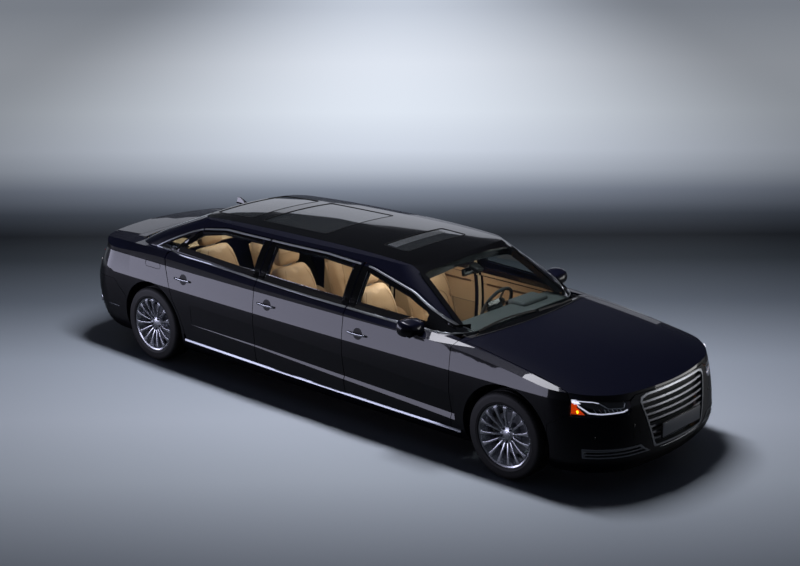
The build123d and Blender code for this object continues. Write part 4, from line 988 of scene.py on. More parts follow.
bolt = turned("bolt",
              [(0.001, -0.0925), (0.006, -0.0925), (0.0085, -0.090), (0.0095, -0.078),
               (0.001, -0.078)], 6)
bolts = [copied(bolt, Matrix.Rotation(2 * math.pi * (k + 0.5) / BOLTS, 4, "Y")
                @ Matrix.Translation((0, 0, 0.056))) for k in range(BOLTS)]
bpy.data.objects.remove(bolt)
valve = turned("valve",
               [(0.001, -0.118), (0.003, -0.118), (0.004, -0.112), (0.004, -0.090),
                (0.001, -0.090)], 12)
valve.data.transform(Matrix.Translation((0.030, 0, 0.222)))
wheel = joined([barrel, hub, cap] + spokes + [valve], "wheel")
bolts = joined(bolts, "bolts")
tyre = turned("tyre",
              [(0.2545, -0.112), (0.258, -0.121), (0.264, -0.1245), (0.270, -0.1245),
               (0.2725, -0.1255), (0.276, -0.1275), (0.282, -0.1272), (0.285, -0.1262),
               (0.300, -0.1268), (0.302, -0.1262), (0.316, -0.1262), (0.318, -0.1255),
               (0.330, -0.124), (0.332, -0.1225), (0.340, -0.118), (0.3485, -0.108),
               (0.353, -0.094), (0.3545, -0.078), (0.347, -0.076), (0.347, -0.068),
               (0.3555, -0.066), (0.356, -0.030), (0.348, -0.028), (0.348, -0.018), (0.356, -0.016),
               (0.356, 0.016), (0.348, 0.018), (0.348, 0.028), (0.356, 0.030), (0.3555, 0.066),
               (0.347, 0.068), (0.347, 0.076), (0.3545, 0.078), (0.353, 0.094), (0.3485, 0.108),
               (0.340, 0.118), (0.330, 0.124), (0.300, 0.1268), (0.276, 0.1272), (0.262, 0.122),
               (0.2545, 0.112)], 144)
disc = turned("disc",
              [(0.060, 0.024), (0.168, 0.024), (0.170, 0.022), (0.170, 0.012), (0.166, 0.010),
               (0.166, 0.002), (0.170, 0.000), (0.170, -0.010), (0.168, -0.012), (0.088, -0.012),
               (0.084, -0.030), (0.060, -0.032)], 96)
print("wheel triangles about", 2 * len(wheel.data.polygons), "tyre", 2 * len(tyre.data.polygons))


# %% [markdown]
# ## Tyre rubber and brake discs
# Carbon-black rubber is dull and a little brown with dust in its grooves; fine blocks across the
# tread are drawn as a bump that follows the angle round the axle. A disc is turned cast iron, so
# it has fine rings round the same axle. Both could follow a UV map; the angle is exact and needs
# none.

# %% Finishes that turn with an axle
BLOCKS = 72.0             # blocks round the tread
RING = 3000.0             # fineness of the rings that turning leaves


def round_axle(tree, place, x):
    """Angle and radius of a point round the axle at x."""
    parts = add_node(tree, "ShaderNodeSeparateXYZ", {"Vector": place})
    across = add_node(tree, "ShaderNodeMath", {0: parts.outputs["X"], 1: x}, operation="SUBTRACT")
    up = add_node(tree, "ShaderNodeMath", {0: parts.outputs["Z"], 1: WHEEL_Z}, operation="SUBTRACT")
    angle = add_node(tree, "ShaderNodeMath", {0: up.outputs[0], 1: across.outputs[0]},
                     operation="ARCTAN2")
    far = add_node(tree, "ShaderNodeCombineXYZ", {"X": across.outputs[0], "Z": up.outputs[0]})
    radius = add_node(tree, "ShaderNodeVectorMath", {0: far.outputs[0]}, operation="LENGTH")
    return angle.outputs[0], radius.outputs["Value"]


def tyre_rubber(name, x):
    """Tread rubber with blocks round the axle at x."""
    material, tree, shader, place = finish(name, "17171a", 0.62)
    angle, radius = round_axle(tree, place, x)
    blocks = add_node(tree, "ShaderNodeMath", {0: angle, 1: BLOCKS}, operation="MULTIPLY")
    wave = add_node(tree, "ShaderNodeMath", {0: blocks.outputs[0]}, operation="SINE")
    slot_shape = add_node(tree, "ShaderNodeMapRange",
                          {"Value": wave.outputs[0], "From Min": 0.75, "From Max": 0.95})
    tread = add_node(tree, "ShaderNodeMapRange",
                     {"Value": radius, "From Min": 0.338, "From Max": 0.342})
    cuts = add_node(tree, "ShaderNodeMath", {0: slot_shape.outputs[0], 1: tread.outputs[0]},
                    operation="MULTIPLY")
    bump = add_node(tree, "ShaderNodeBump", {"Height": cuts.outputs[0], "Distance": -0.004})
    tree.links.new(bump.outputs[0], shader.inputs["Normal"])
    dust = add_node(tree, "ShaderNodeTexNoise", {"Vector": place, "Scale": 40.0, "Detail": 3.0})
    tint(tree, shader, dust.outputs["Fac"], "121214", "1f1f21")
    return material


def turned_iron(name, x):
    """Ground disc with rings round the axle at x."""
    material, tree, shader, place = finish(name, "8d8f93", 0.3, 1.0)
    angle, radius = round_axle(tree, place, x)
    rings = add_node(tree, "ShaderNodeMath", {0: radius, 1: RING}, operation="MULTIPLY")
    wave = add_node(tree, "ShaderNodeMath", {0: rings.outputs[0]}, operation="SINE")
    bump = add_node(tree, "ShaderNodeBump", {"Height": wave.outputs[0], "Distance": 0.00006})
    tree.links.new(bump.outputs[0], shader.inputs["Normal"])
    return material


for end, x in (("front", FRONT_AXLE), ("rear", REAR_AXLE)):
    rubber = tyre_rubber(f"tread_rubber_{end}", x)
    iron = turned_iron(f"ground_cast_iron_{end}", x)
    for side, sign in (("right", 1), ("left", -1)):
        turn = Matrix.Identity(4) if sign > 0 else Matrix.Rotation(math.pi, 4, "Z")
        move = Matrix.Translation((x, -sign * WHEEL_Y, WHEEL_Z)) @ turn
        body = f"{end}_wheel_{side}"
        kinds = (("rim", wheel, cast_alloy, "alloy", (f"{end}_rim_{side}",)),
                 ("bolts", bolts, grey_steel, "steel", ()),
                 ("tyre", tyre, rubber, "tyre", (f"{end}_tyre_{side}",)),
                 ("disc", disc, iron, "iron", ()))
        for kind, source, material, slot_name, old in kinds:
            piece = copied(source, move)
            piece.name = f"{kind}_{end}_{side}"
            done(piece, material, body, slot_name, 30, old)
        calliper = block(f"calliper_{end}_{side}", (0.10, 0.052, 0.17), (0, 0, 0), 0.012, 3)
        calliper.data.transform(Matrix.Translation((x - 0.126, -sign * (WHEEL_Y - 0.004),
                                                    WHEEL_Z + 0.010)))
        done(calliper, grained_black, f"knuckle_{side}" if end == "front" else "body",
             "black_plastic")
for item in (wheel, bolts, tyre, disc):
    bpy.data.objects.remove(item)
print("wheels placed")

# %% [markdown]
# ## Door mirrors
# A painted shell on a short black arm, with the glass set back in its rear face and a bright line
# under it. The shell starts as a divided cube that is drawn towards a sphere, then flattened
# behind, which gives its soft, full shape.

# %% Door mirrors
SHELL_SPOT = (1.246, -0.955, 1.038)
SHELL_BACK = 0.36         # share of the rounded cube at which its back is flat
clear()
bpy.ops.mesh.primitive_cube_add(size=1)
shell = bpy.context.object
shell.name = "mirror_shell_right"
bpy.ops.object.mode_set(mode="EDIT")
bpy.ops.mesh.select_all(action="SELECT")
bpy.ops.mesh.subdivide(number_cuts=7)
bpy.ops.transform.tosphere(value=0.62)
bpy.ops.object.mode_set(mode="OBJECT")
for vertex in shell.data.vertices:
    x, y, z = vertex.co
    ahead = 2 * max(0.0, x)
    back = min(1.0, max(0.0, -x / SHELL_BACK))
    vertex.co.x = SHELL_SPOT[0] + max(x, -SHELL_BACK) * 0.165
    vertex.co.y = SHELL_SPOT[1] + y * 0.215 * (1 - 0.16 * ahead)
    vertex.co.z = SHELL_SPOT[2] + z * 0.124 * (1 - 0.20 * ahead) - 0.010 * (y + 0.5) + 0.006 * back
glass_middle = Vector((SHELL_SPOT[0] - SHELL_BACK * 0.150, -0.968, SHELL_SPOT[2]))
bpy.ops.object.mode_set(mode="EDIT")
bpy.ops.mesh.select_all(action="DESELECT")
bpy.ops.object.mode_set(mode="OBJECT")
for face in shell.data.polygons:
    face.select = face.normal.x < -0.97 and (face.center - glass_middle).length < 0.085
bpy.ops.object.mode_set(mode="EDIT")
bpy.ops.mesh.inset(thickness=0.006, depth=-0.008)
bpy.ops.object.mode_set(mode="OBJECT")
shell.data.materials.append(paint)
shell.data.materials.append(bright)
for face in shell.data.polygons:
    face.material_index = 1 if face.select else 0
modify(shell, "SUBSURF", levels=1, render_levels=1)
mirror_parts = [done(shell, paint, "front_door_right", "mirror_cap", 85, ("mirror_right",))]
arm = block("mirror_arm_right", (0.060, 0.090, 0.020), (1.262, -0.902, 0.996), 0.008, 3,
            (math.radians(-16), 0, 0))
mirror_parts.append(done(arm, gloss_black, "front_door_right", "black_gloss"))
clear()
bpy.ops.mesh.primitive_cube_add(size=1, location=(1.2535, -0.966, 0.9795),
                                scale=(0.100, 0.150, 0.007))
foot = bpy.context.object
foot.name = "mirror_line_right"
bpy.ops.object.transform_apply(location=True, rotation=True, scale=True)
modify(foot, "BEVEL", width=0.045, segments=6, limit_method="ANGLE", affect="VERTICES")
mirror_parts.append(done(foot, bright, "front_door_right", "chrome"))
for piece in mirror_parts:
    other = to_left(piece)
    if piece is shell:
        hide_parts("mirror_left")
print("mirrors", [round(v, 3) for v in shell.bound_box[0]])

# %% [markdown]
# ## Headlamps
# Under a clear cover sits a dark housing with a white light guide that runs in along the top,
# down in a diagonal and back along the foot, an amber lamp at the outer corner, and small dark
# chambers. The cover is a thin copy of the CAD solid's outer skin; the guides are strips laid a
# little behind it. A lamp could be one opaque block with a drawn face, but the depth between
# cover and guides is what makes a headlamp look real.

# %% Headlamps
lamp_skin = tree_of([nodes["headlamps"]])


def lamp_path(points, step=0.06, rounds=2):
    """Points of a line on the lamp, given across (0 inner to 1 outer) and up (0 foot to 1 top)."""
    spots = []
    for across, up in fine(points, step, rounds):
        y = -0.548 - across * 0.338
        low = 0.662 + 0.004 * across if across > 0.1 else 0.676 - 0.10 * across
        high = 0.742 + 0.034 * across
        spots.append((y, low + (high - low) * up))
    return spots


def on_lamp(depth):
    """Skin of the nose at the lamp, set back by a depth."""
    def on(y, z):
        hit = first_hit((4.2, y, z), (-1, 0, 0), [(0, 0, 0)], lamp_skin)
        if hit is None:
            hit = Vector((3.05 - max(0.0, -y - 0.60) ** 2 * 2.6, y, z))
        inward = Vector((-0.80, 0.60, 0)) if y < -0.72 else Vector((-0.95, 0.30, 0))
        return hit + inward.normalized() * depth, -inward.normalized()
    return on


cover = nodes["headlamps"].copy()
cover.data = nodes["headlamps"].data.copy()
cover.name = "headlamp_cover_right"
bpy.context.collection.objects.link(cover)
mesh = bmesh.new()
mesh.from_mesh(cover.data)
bmesh.ops.remove_doubles(mesh, verts=mesh.verts, dist=0.0001)
mesh.normal_update()
skin_faces = []
for face in mesh.faces:
    middle = face.calc_center_median()
    hit = first_hit(middle + face.normal * 0.6, -face.normal, [(0, 0, 0)], lamp_skin)
    outer = face.normal.x * 0.8 - face.normal.y * 0.6 > 0.25 and middle.y < 0
    if not outer or abs(face.normal.z) > 0.85 or (hit and (hit - middle).length > 0.004):
        skin_faces.append(face)
bmesh.ops.delete(mesh, geom=skin_faces, context="FACES")
mesh.to_mesh(cover.data)
mesh.free()
cover.data.materials.clear()
modify(cover, "SOLIDIFY", thickness=0.003, offset=-1.0)
done(cover, lamp_cover, "body", "lamp_glass", 40, ("headlamps",))
housing = nodes["headlamps"].copy()
housing.data = nodes["headlamps"].data.copy()
housing.name = "headlamp_housing_right"
bpy.context.collection.objects.link(housing)
mesh = bmesh.new()
mesh.from_mesh(housing.data)
bmesh.ops.remove_doubles(mesh, verts=mesh.verts, dist=0.0001)
bmesh.ops.delete(mesh, geom=[v for v in mesh.verts if v.co.y > 0], context="VERTS")
for vertex in mesh.verts:
    vertex.co += Vector((-0.80, 0.60, 0)) * 0.034
    vertex.co.z += 0.002
mesh.to_mesh(housing.data)
mesh.free()
housing.data.materials.clear()
done(housing, gloss_black, "body", "lamp_glass", 40)
lamp_bits = [cover, housing]
GUIDES = [("guide_low", [(0.97, 0.98), (0.90, 0.62), (0.78, 0.16), (0.60, 0.07), (0.02, 0.12)],
           0.0105, light_guide),
          ("guide_top", [(0.97, 0.97), (0.70, 0.98), (0.60, 0.90)], 0.0075, light_guide),
          ("guide_step", [(0.60, 0.90), (0.44, 0.50), (0.10, 0.46), (0.06, 0.88)], 0.006,
           satin_silver)]
for name, points, width, material in GUIDES:
    line = lamp_path(points)
    piece = strip(name + "_right", line, width, 0.008, on_lamp(0.016))
    lamp_bits.append(done(piece, material, "body", "lamp_glass"))
for number in range(7):
    across = 0.16 + 0.085 * number
    line = lamp_path([(across, 0.20), (across + 0.03, 0.42)], 0.06, 0)
    piece = strip(f"lamp_rib_{number}_right", line, 0.004, 0.005, on_lamp(0.020))
    lamp_bits.append(done(piece, satin_silver, "body", "lamp_glass"))
low = [lamp_path([(c, 0.04), (c, 0.04)], 0.06, 0)[0] for c in (1.08, 1.0, 0.92, 0.84)]
high = [lamp_path([(c, 0.9), (c, 0.9)], 0.06, 0)[0] for c in (1.08, 1.05, 1.02, 0.99)]
piece = patch("amber_corner_right", low, high, 6, 0.0, on_lamp(0.012), 0.004)
lamp_bits.append(done(piece, amber_lens, "body", "lamp_glass"))
bulb_at = on_lamp(0.010)(*lamp_path([(0.93, 0.22), (0.93, 0.22)], 0.06, 0)[0])[0]
clear()
bpy.ops.mesh.primitive_ico_sphere_add(subdivisions=3, radius=0.013, location=bulb_at)
bulb = bpy.context.object
bulb.name = "indicator_bulb_right"
bpy.ops.object.transform_apply(location=True, rotation=True, scale=True)
bpy.ops.object.mode_set(mode="EDIT")
bpy.ops.mesh.select_all(action="SELECT")
bpy.ops.transform.resize(value=(0.7, 1.0, 1.0))
bpy.ops.object.mode_set(mode="OBJECT")
lamp_bits.append(done(bulb, lit_bulb, "body", "lamp_glass", 60))
for piece in lamp_bits:
    to_left(piece)
print("headlamp pieces", len(lamp_bits), "cover triangles", len(cover.data.polygons))

# %% [markdown]
# ## Nose and tail details
# The grille stands before dark mesh and carries a blank plate. A bright line runs under it, and
# the rear bumper has one too. The tail lamps are red lenses with brighter guides, carried on
# across the boot lid; two flat exhaust finishers end the bumper. Each piece is laid on the skin
# or cut from a rounded block. The nose and tail are curved, so flat parts such as the plates are
# set just ahead of the skin's furthest point behind them.

# %% Plates, mesh and bright lines
for name, x, z, body in (("plate_front", 3.174, 0.465, "body"),
                         ("plate_rear", min(on_tail(y, 0.60)[0].x for y in (0.0, 0.2)) - 0.004,
                          0.600, "body")):
    surround = block(name + "_frame", (0.010, 0.536, 0.126), (x, 0, z), 0.003)
    done(surround, grained_black, body, "black_plastic")
    sheet_x = x + (0.006 if x > 0 else -0.006)
    sheet = block(name, (0.003, 0.520, 0.110), (sheet_x, 0, z), 0.001)
    done(sheet, plate_white, body, "chrome")
clear()
bpy.ops.mesh.primitive_grid_add(x_subdivisions=14, y_subdivisions=6, size=2)
backing = bpy.context.object
backing.name = "grille_mesh"
for vertex in backing.data.vertices:
    u, v = vertex.co.x, vertex.co.y
    half = 0.335 + 0.090 * (v + 1) / 2
    vertex.co = Vector((3.098 - 0.034 * u * u - 0.014 * (v + 1) / 2, u * half, 0.560 + 0.200 * v))
if backing.data.polygons[0].normal.x < 0:
    backing.data.flip_normals()
modify(backing, "SOLIDIFY", thickness=0.003, offset=-1.0)
done(backing, grained_black, "body", "black_plastic")
chin = strip("chin_line",
             fine([(-0.50, 0.334), (-0.37, 0.326), (0.37, 0.326), (0.50, 0.334)], 0.06), 0.008,
             0.005, on_nose)
done(chin, bright, "body", "chrome")
hem = strip("tail_line", fine([(-0.80, 0.428), (0.80, 0.428)], 0.05, 0), 0.013, 0.006, on_tail)
done(hem, bright, "body", "chrome")
print("plates and lines", chin.name, hem.name)

# %% [markdown]
# ## Tail lamps, finishers and small covers
# The red lenses carry on from the wings over the boot lid, so the lid's share rides on the lid.
# Round sensors, a towing eye's cover and the fuel flap show only as thin lines in the paint.
# Lines could be cut into the panel; a narrow dark strip on it looks the same and leaves the CAD
# part whole.

# %% Tail lamps, exhaust finishers and parking sensors
ends = []
for name, points, width, material, body in (
        ("tail_guide_top_right", [(-0.60, 0.915), (-0.80, 0.905)], 0.012, red_lens, "body"),
        ("tail_guide_low_right", [(-0.60, 0.800), (-0.80, 0.805)], 0.012, light_guide, "body"),
        ("lid_guide_right", [(-0.37, 0.905), (-0.55, 0.910)], 0.012, red_lens, "boot_lid"),
        ("lid_line_right", [(-0.01, 0.775), (-0.55, 0.778)], 0.012, bright, "boot_lid")):
    piece = strip(name, fine(points, 0.05, 0), width, 0.004, on_tail)
    ends.append(done(piece, material, body, "chrome" if material is bright else "red_lens"))
low = [(y, 0.800) for y in (-0.36, -0.42, -0.48, -0.54, -0.56)]
piece = patch("lid_lamp_right", low, [(y, 0.930) for y, _ in low], 6, 0.004, on_tail, 0.004)
ends.append(done(piece, red_lens, "boot_lid", "red_lens"))
x = on_tail(-0.65, 0.385)[0].x
tip = block("exhaust_finisher_right", (0.050, 0.190, 0.058), (x + 0.016, -0.65, 0.362), 0.012, 3)
ends.append(done(tip, bright, "body", "chrome"))
# Painted shade: the finisher's opening is a thin black sheet on its end face.
mouth_shade = block("exhaust_mouth_right", (0.004, 0.168, 0.038), (x - 0.0105, -0.65, 0.362), 0.0015)
ends.append(done(mouth_shade, grained_black, "body", "black_plastic"))
for number, (on, y, z) in enumerate(((on_nose, -0.52, 0.56), (on_nose, -0.80, 0.50),
                                     (on_tail, -0.25, 0.52), (on_tail, -0.66, 0.53))):
    spot, out = on(y, z)
    eye = block(f"sensor_{number}_right", (0.004, 0.017, 0.017), spot + out * 0.0005, 0.0015)
    ends.append(done(eye, gloss_black, "body", "black_gloss"))
hook = strip("tow_cover_right",
             fine([(-0.47, 0.52), (-0.53, 0.52), (-0.53, 0.46), (-0.47, 0.46)], 0.03, 1,
                  closed=True), 0.0025, 0.0008, on_nose, closed=True, crown=FLAT)
done(hook, seal_rubber, "body", "black_plastic")
flap = strip("fuel_flap_line",
             fine([(-2.106, 0.919), (-1.888, 0.919), (-1.888, 0.974), (-2.106, 0.974)], 0.05, 2,
                  closed=True), 0.004, 0.0008, on_side, closed=True, crown=FLAT)
done(flap, seal_rubber, "body", "black_plastic")
rear_line = strip("rear_low_line_right", fine([(-2.545, 0.428), (-2.70, 0.428)], 0.04, 0), 0.011,
                  0.005, on_side)
ends.append(done(rear_line, bright, "body", "chrome"))
for piece in ends:
    to_left(piece)
print("nose and tail", len(ends))

# %% [markdown]
# ## Roof, wipers and aerial
# Five bright strips lie across the front roof pane; black ceramic borders edge each pane,
# and a short fin behind the roof holds the aerial. The wipers rest in the black trough below the
# windscreen. The fin starts as a divided cube that is pinched towards its top and swept back; a
# curve would do as well, but its foot has to follow the roof.

# %% Roof panes, fin and wipers
# name, middle along the car, half length and half width
PANES = [("front", 0.564, 0.140, 0.380), ("middle", -0.600, 0.400, 0.440),
         ("rear", -1.385, 0.235, 0.430)]
for name, x, half_x, half_y in PANES:
    ring = [(x - half_x, -half_y), (x + half_x, -half_y), (x + half_x, half_y),
            (x - half_x, half_y)]
    piece = strip("pane_seal_" + name, fine(ring, 0.07, 2, closed=True), 0.010, 0.0015, on_top,
                  closed=True, crown=FLAT)
    done(piece, seal_rubber, "body", "black_plastic")
for name, x, half_x, half_y in PANES:
    low_z = min(on_top(x + a * half_x * 0.9, b * half_y * 0.9)[0].z for a in (-1, 1)
                for b in (-1, 1))
    blind = block("pane_blind_" + name, (2 * half_x - 0.03, 2 * half_y - 0.03, 0.004),
                  (x, 0, low_z - 0.016), 0.0015)
    done(blind, headlining, "body", "trim_dark")
# Five bright satin strips across the front roof pane.
for number in range(5):
    x = 0.452 + 0.021 * number
    piece = strip(f"louvre_{number}", fine([(x, -0.345), (x, 0.300)], 0.06, 0), 0.0085, 0.003,
                  on_top)
    done(piece, satin_silver, "body", "chrome")
clear()
FIN_X = -1.753
FIN_HEIGHT = 0.058
bpy.ops.mesh.primitive_cube_add(size=1, location=(FIN_X, 0, 1.468),
                                scale=(0.150, 0.050, FIN_HEIGHT))
fin = bpy.context.object
fin.name = "aerial_fin"
bpy.ops.object.transform_apply(location=True, rotation=True, scale=True)
bpy.ops.object.mode_set(mode="EDIT")
bpy.ops.mesh.select_all(action="SELECT")
bpy.ops.mesh.subdivide(number_cuts=5)
bpy.ops.object.mode_set(mode="OBJECT")
foot_z = on_top(FIN_X, 0.0)[0].z
for vertex in fin.data.vertices:
    up = (vertex.co.z - 1.439) / FIN_HEIGHT
    vertex.co.x = FIN_X - 0.052 * up ** 1.3 + (vertex.co.x - FIN_X) * (1 - 0.72 * up)
    vertex.co.y *= 1 - 0.80 * up ** 0.7
    vertex.co.z = foot_z - 0.006 + 0.062 * up - 0.03 * (1 - up) * (vertex.co.x - FIN_X)
modify(fin, "BEVEL", width=0.003, segments=2, limit_method="ANGLE")
modify(fin, "SUBSURF", levels=1)
done(fin, gloss_black, "body", "black_gloss", 60)
for name, points in (("wiper_right", [(1.708, 0.06), (1.672, -0.30), (1.650, -0.60)]),
                     ("wiper_left", [(1.690, 0.60), (1.712, 0.25), (1.716, 0.10)])):
    blade = strip(name, fine(points, 0.05), 0.012, 0.014, on_top)
    done(blade, grained_black, "body", "black_plastic")
top_edge = [(1.036 + 0.026 * (1 - (y / 0.60) ** 2), y)
            for y in [-0.58 + 0.116 * k for k in range(11)]]
foot_edge = [(1.652 + 0.096 * (1 - (y / 0.74) ** 2), y)
             for y in [0.70 - 0.14 * k for k in range(11)]]
frit = strip("windscreen_border", fine(top_edge + foot_edge, 0.07, 2, closed=True), 0.046, 0.0012,
             on_top, closed=True, crown=FLAT)
done(frit, gloss_black, "body", "black_gloss")
print("roof done")

# %% [markdown]
# ## Seats
# A car seat's foam is moulded, wrapped in sewn leather panels and pulled tight, so it is full and
# crowned, with raised bolsters and an arched centre panel whose seam presses in. Each pad starts
# as a divided cube a little smaller than its space. A remesh gives even cells, Cloth with
# pressure fills it, and the seams and the arched insert follow the finished surface. One seat is
# made and copied six times.

# %% Soft pads
SWELL = 0.022             # how far a point of a pad may move
FRAMES = 20               # steps that the cloth gets to fill


def soft(name, size, shape, cell):
    """A filled pad about the origin: size in metres, shape moves a point of the plain form."""
    clear()
    bpy.ops.mesh.primitive_cube_add(size=2)
    piece = bpy.context.object
    piece.name = name
    bpy.ops.object.mode_set(mode="EDIT")
    bpy.ops.mesh.select_all(action="SELECT")
    bpy.ops.mesh.subdivide(number_cuts=9)
    bpy.ops.object.mode_set(mode="OBJECT")
    for vertex in piece.data.vertices:
        u, v, w = vertex.co
        a, b, c = abs(u) ** 6, abs(v) ** 6, abs(w) ** 6
        pull = 1 - 0.055 * (a * b + b * c + a * c)
        vertex.co = shape(u, v, w,
                          Vector((u * size[0] / 2, v * size[1] / 2, w * size[2] / 2)) * pull)
    modify(piece, "BEVEL", width=min(size) * 0.22, segments=4, limit_method="ANGLE",
           angle_limit=math.radians(50))
    modify(piece, "REMESH", mode="VOXEL", voxel_size=cell)
    modify(piece, "SMOOTH", factor=0.6, iterations=6)
    start = [vertex.co.copy() for vertex in piece.data.vertices]
    chosen(piece)
    cloth = piece.modifiers.new("fill", "CLOTH")
    cloth.settings.use_pressure = True
    cloth.settings.uniform_pressure_force = 4.0
    cloth.settings.effector_weights.gravity = 0.0
    cloth.settings.tension_stiffness = 25
    cloth.settings.compression_stiffness = 25
    for number in range(1, FRAMES + 1):
        bpy.context.scene.frame_set(number)
    bpy.ops.object.modifier_apply(modifier=cloth.name)
    for vertex, before in zip(piece.data.vertices, start):
        move = vertex.co - before
        if move.length > SWELL:
            vertex.co = before + move * (SWELL / move.length)
    bpy.context.scene.frame_set(1)
    modify(piece, "SUBSURF", levels=1)
    return piece


def cushion_form(u, v, w, spot):
    """Raised sides and front roll of a seat cushion, X ahead and Z up."""
    if w > 0:
        spot.z += 0.022 * max(0.0, abs(v) - 0.62) / 0.38 * w - 0.010 * (1 - u * u) * (1 - v * v) * w
        spot.z -= 0.030 * max(0.0, u - 0.6) / 0.4 * w
    spot.y *= 1 - 0.06 * max(0.0, -u)
    return spot


def back_form(u, v, w, spot):
    """Wings and tapered shoulders of a backrest, X ahead and Z up."""
    spot.y *= 1 - 0.22 * max(0.0, w - 0.15) ** 1.6 - 0.05 * max(0.0, -w)
    if u > 0:
        spot.x += (0.026 * max(0.0, abs(v) - 0.60) / 0.40 * (1 - 0.8 * max(0.0, w)) + 0.010
                   * (1 - w * w)) * u
    return spot


def head_form(u, v, w, spot):
    """Pillow shape of a headrest."""
    spot.y *= 1 - 0.10 * w * w
    spot.x += 0.010 * w if u > 0 else -0.008 * (1 - v * v)
    return spot


cushion = soft("cushion", (0.520, 0.490, 0.155), cushion_form, 0.018)
back = soft("backrest", (0.135, 0.480, 0.575), back_form, 0.017)
head = soft("headrest", (0.098, 0.270, 0.172), head_form, 0.010)
print("pads", len(cushion.data.polygons), len(back.data.polygons), len(head.data.polygons))

# %% [markdown]
# ## Seams and inserts
# Each cover is sewn from panels, and a cord or a folded edge lies in every seam. They come after
# the filling, because a remesh wipes out anything narrower than its cells. The arched insert is a
# sheet laid on the finished backrest.

# %% Seams and inserts on the finished pads
ARCH_POINTS = 18


def on_pad(tree, axis):
    """Skin of a pad seen along an axis: X for a back, Z for a cushion."""
    out = Vector((1, 0, 0)) if axis == "X" else Vector((0, 0, 1))

    def on(a, b):
        start = Vector((1, a, b)) if axis == "X" else Vector((a, b, 1))
        hit = tree.ray_cast(start, -out)[0]
        if hit is None:
            hit = tree.find_nearest(start - out)[0]
        return hit, out
    return on


def arch(half, foot, top):
    """Arch-shaped line: two legs from the foot and a round head."""
    angles = [math.pi * k / ARCH_POINTS for k in range(ARCH_POINTS + 1)]
    head_points = [(half * math.cos(angle), top - half * 0.9 + half * 0.9 * math.sin(angle))
                   for angle in angles]
    return [(half * 1.02, foot)] + head_points + [(-half * 1.02, foot)]


CORD = [(-1, 0.0), (-0.5, 0.8), (0, 1.0), (0.5, 0.8), (1, 0.0)]
parts = {"back": [], "cushion": [], "head": []}
on_back = on_pad(tree_of([back]), "X")
on_cushion = on_pad(tree_of([cushion]), "Z")
on_head = on_pad(tree_of([head]), "X")
outline = arch(0.128, -0.235, 0.055)
parts["back"].append((strip("back_seam", fine(outline, 0.03, 1), 0.007, 0.003, on_back, crown=CORD),
                      piping_leather))
low = [(y, -0.232) for y in (-0.118, -0.08, -0.04, 0.0, 0.04, 0.08, 0.118)]
high = [(y, 0.040 - 0.108 + 0.106 * math.sqrt(max(0.0, 1 - (y / 0.122) ** 2))) for y, _ in low]
parts["back"].append((patch("back_insert", low, high, 14, 0.0035, on_back, 0.003), insert_leather))
for number, y in enumerate((-0.042, 0.042)):
    line = [(y, -0.225), (y, 0.005)]
    parts["back"].append((strip(f"back_channel_{number}", fine(line, 0.03, 0), 0.004, 0.005,
                                on_back, crown=CORD), piping_leather))
for number, side in enumerate((-1, 1)):
    line = [(side * 0.172, -0.225), (side * 0.176, -0.05), (side * 0.160, 0.12),
            (side * 0.115, 0.225)]
    parts["back"].append((strip(f"back_edge_{number}", fine(line, 0.04, 2), 0.005, 0.002, on_back,
                                crown=CORD), piping_leather))
low = [(-0.20, y) for y in (-0.125, -0.085, -0.042, 0.0, 0.042, 0.085, 0.125)]
high = [(0.215, y) for _, y in low]
parts["cushion"].append((patch("cushion_insert", low, high, 14, 0.0035, on_cushion, 0.003),
                         insert_leather))
for number, y in enumerate((-0.130, -0.043, 0.043, 0.130)):
    line = [(-0.205, y), (0.222, y)]
    parts["cushion"].append((strip(f"cushion_seam_{number}", fine(line, 0.04, 0), 0.006, 0.005,
                                   on_cushion, crown=CORD), piping_leather))
line = [(-0.100, 0.020), (0.100, 0.020)]
parts["head"].append((strip("head_seam", fine(line, 0.02, 0), 0.004, 0.0025, on_head, crown=CORD),
                      piping_leather))
print("trim on a seat", {kind: len(trims) for kind, trims in parts.items()})

# %% [markdown]
# ## Six seats
# Three rows of two. Every seat is the same three pads with their trim, leant back on a base, with
# a hard shell behind and a steel stalk under the headrest. Copies with their own meshes cost
# memory, but each can then be shaped alone.

# %% Six seats
ROWS = [("front_seats", 0.650), ("middle_seats", -0.340), ("rear_seats", -1.390)]


def leaning(x, z, degrees):
    """Place of a pad in its seat, tipped back by an angle."""
    return Matrix.Translation((x, 0, z)) @ Matrix.Rotation(math.radians(-degrees), 4, "Y")


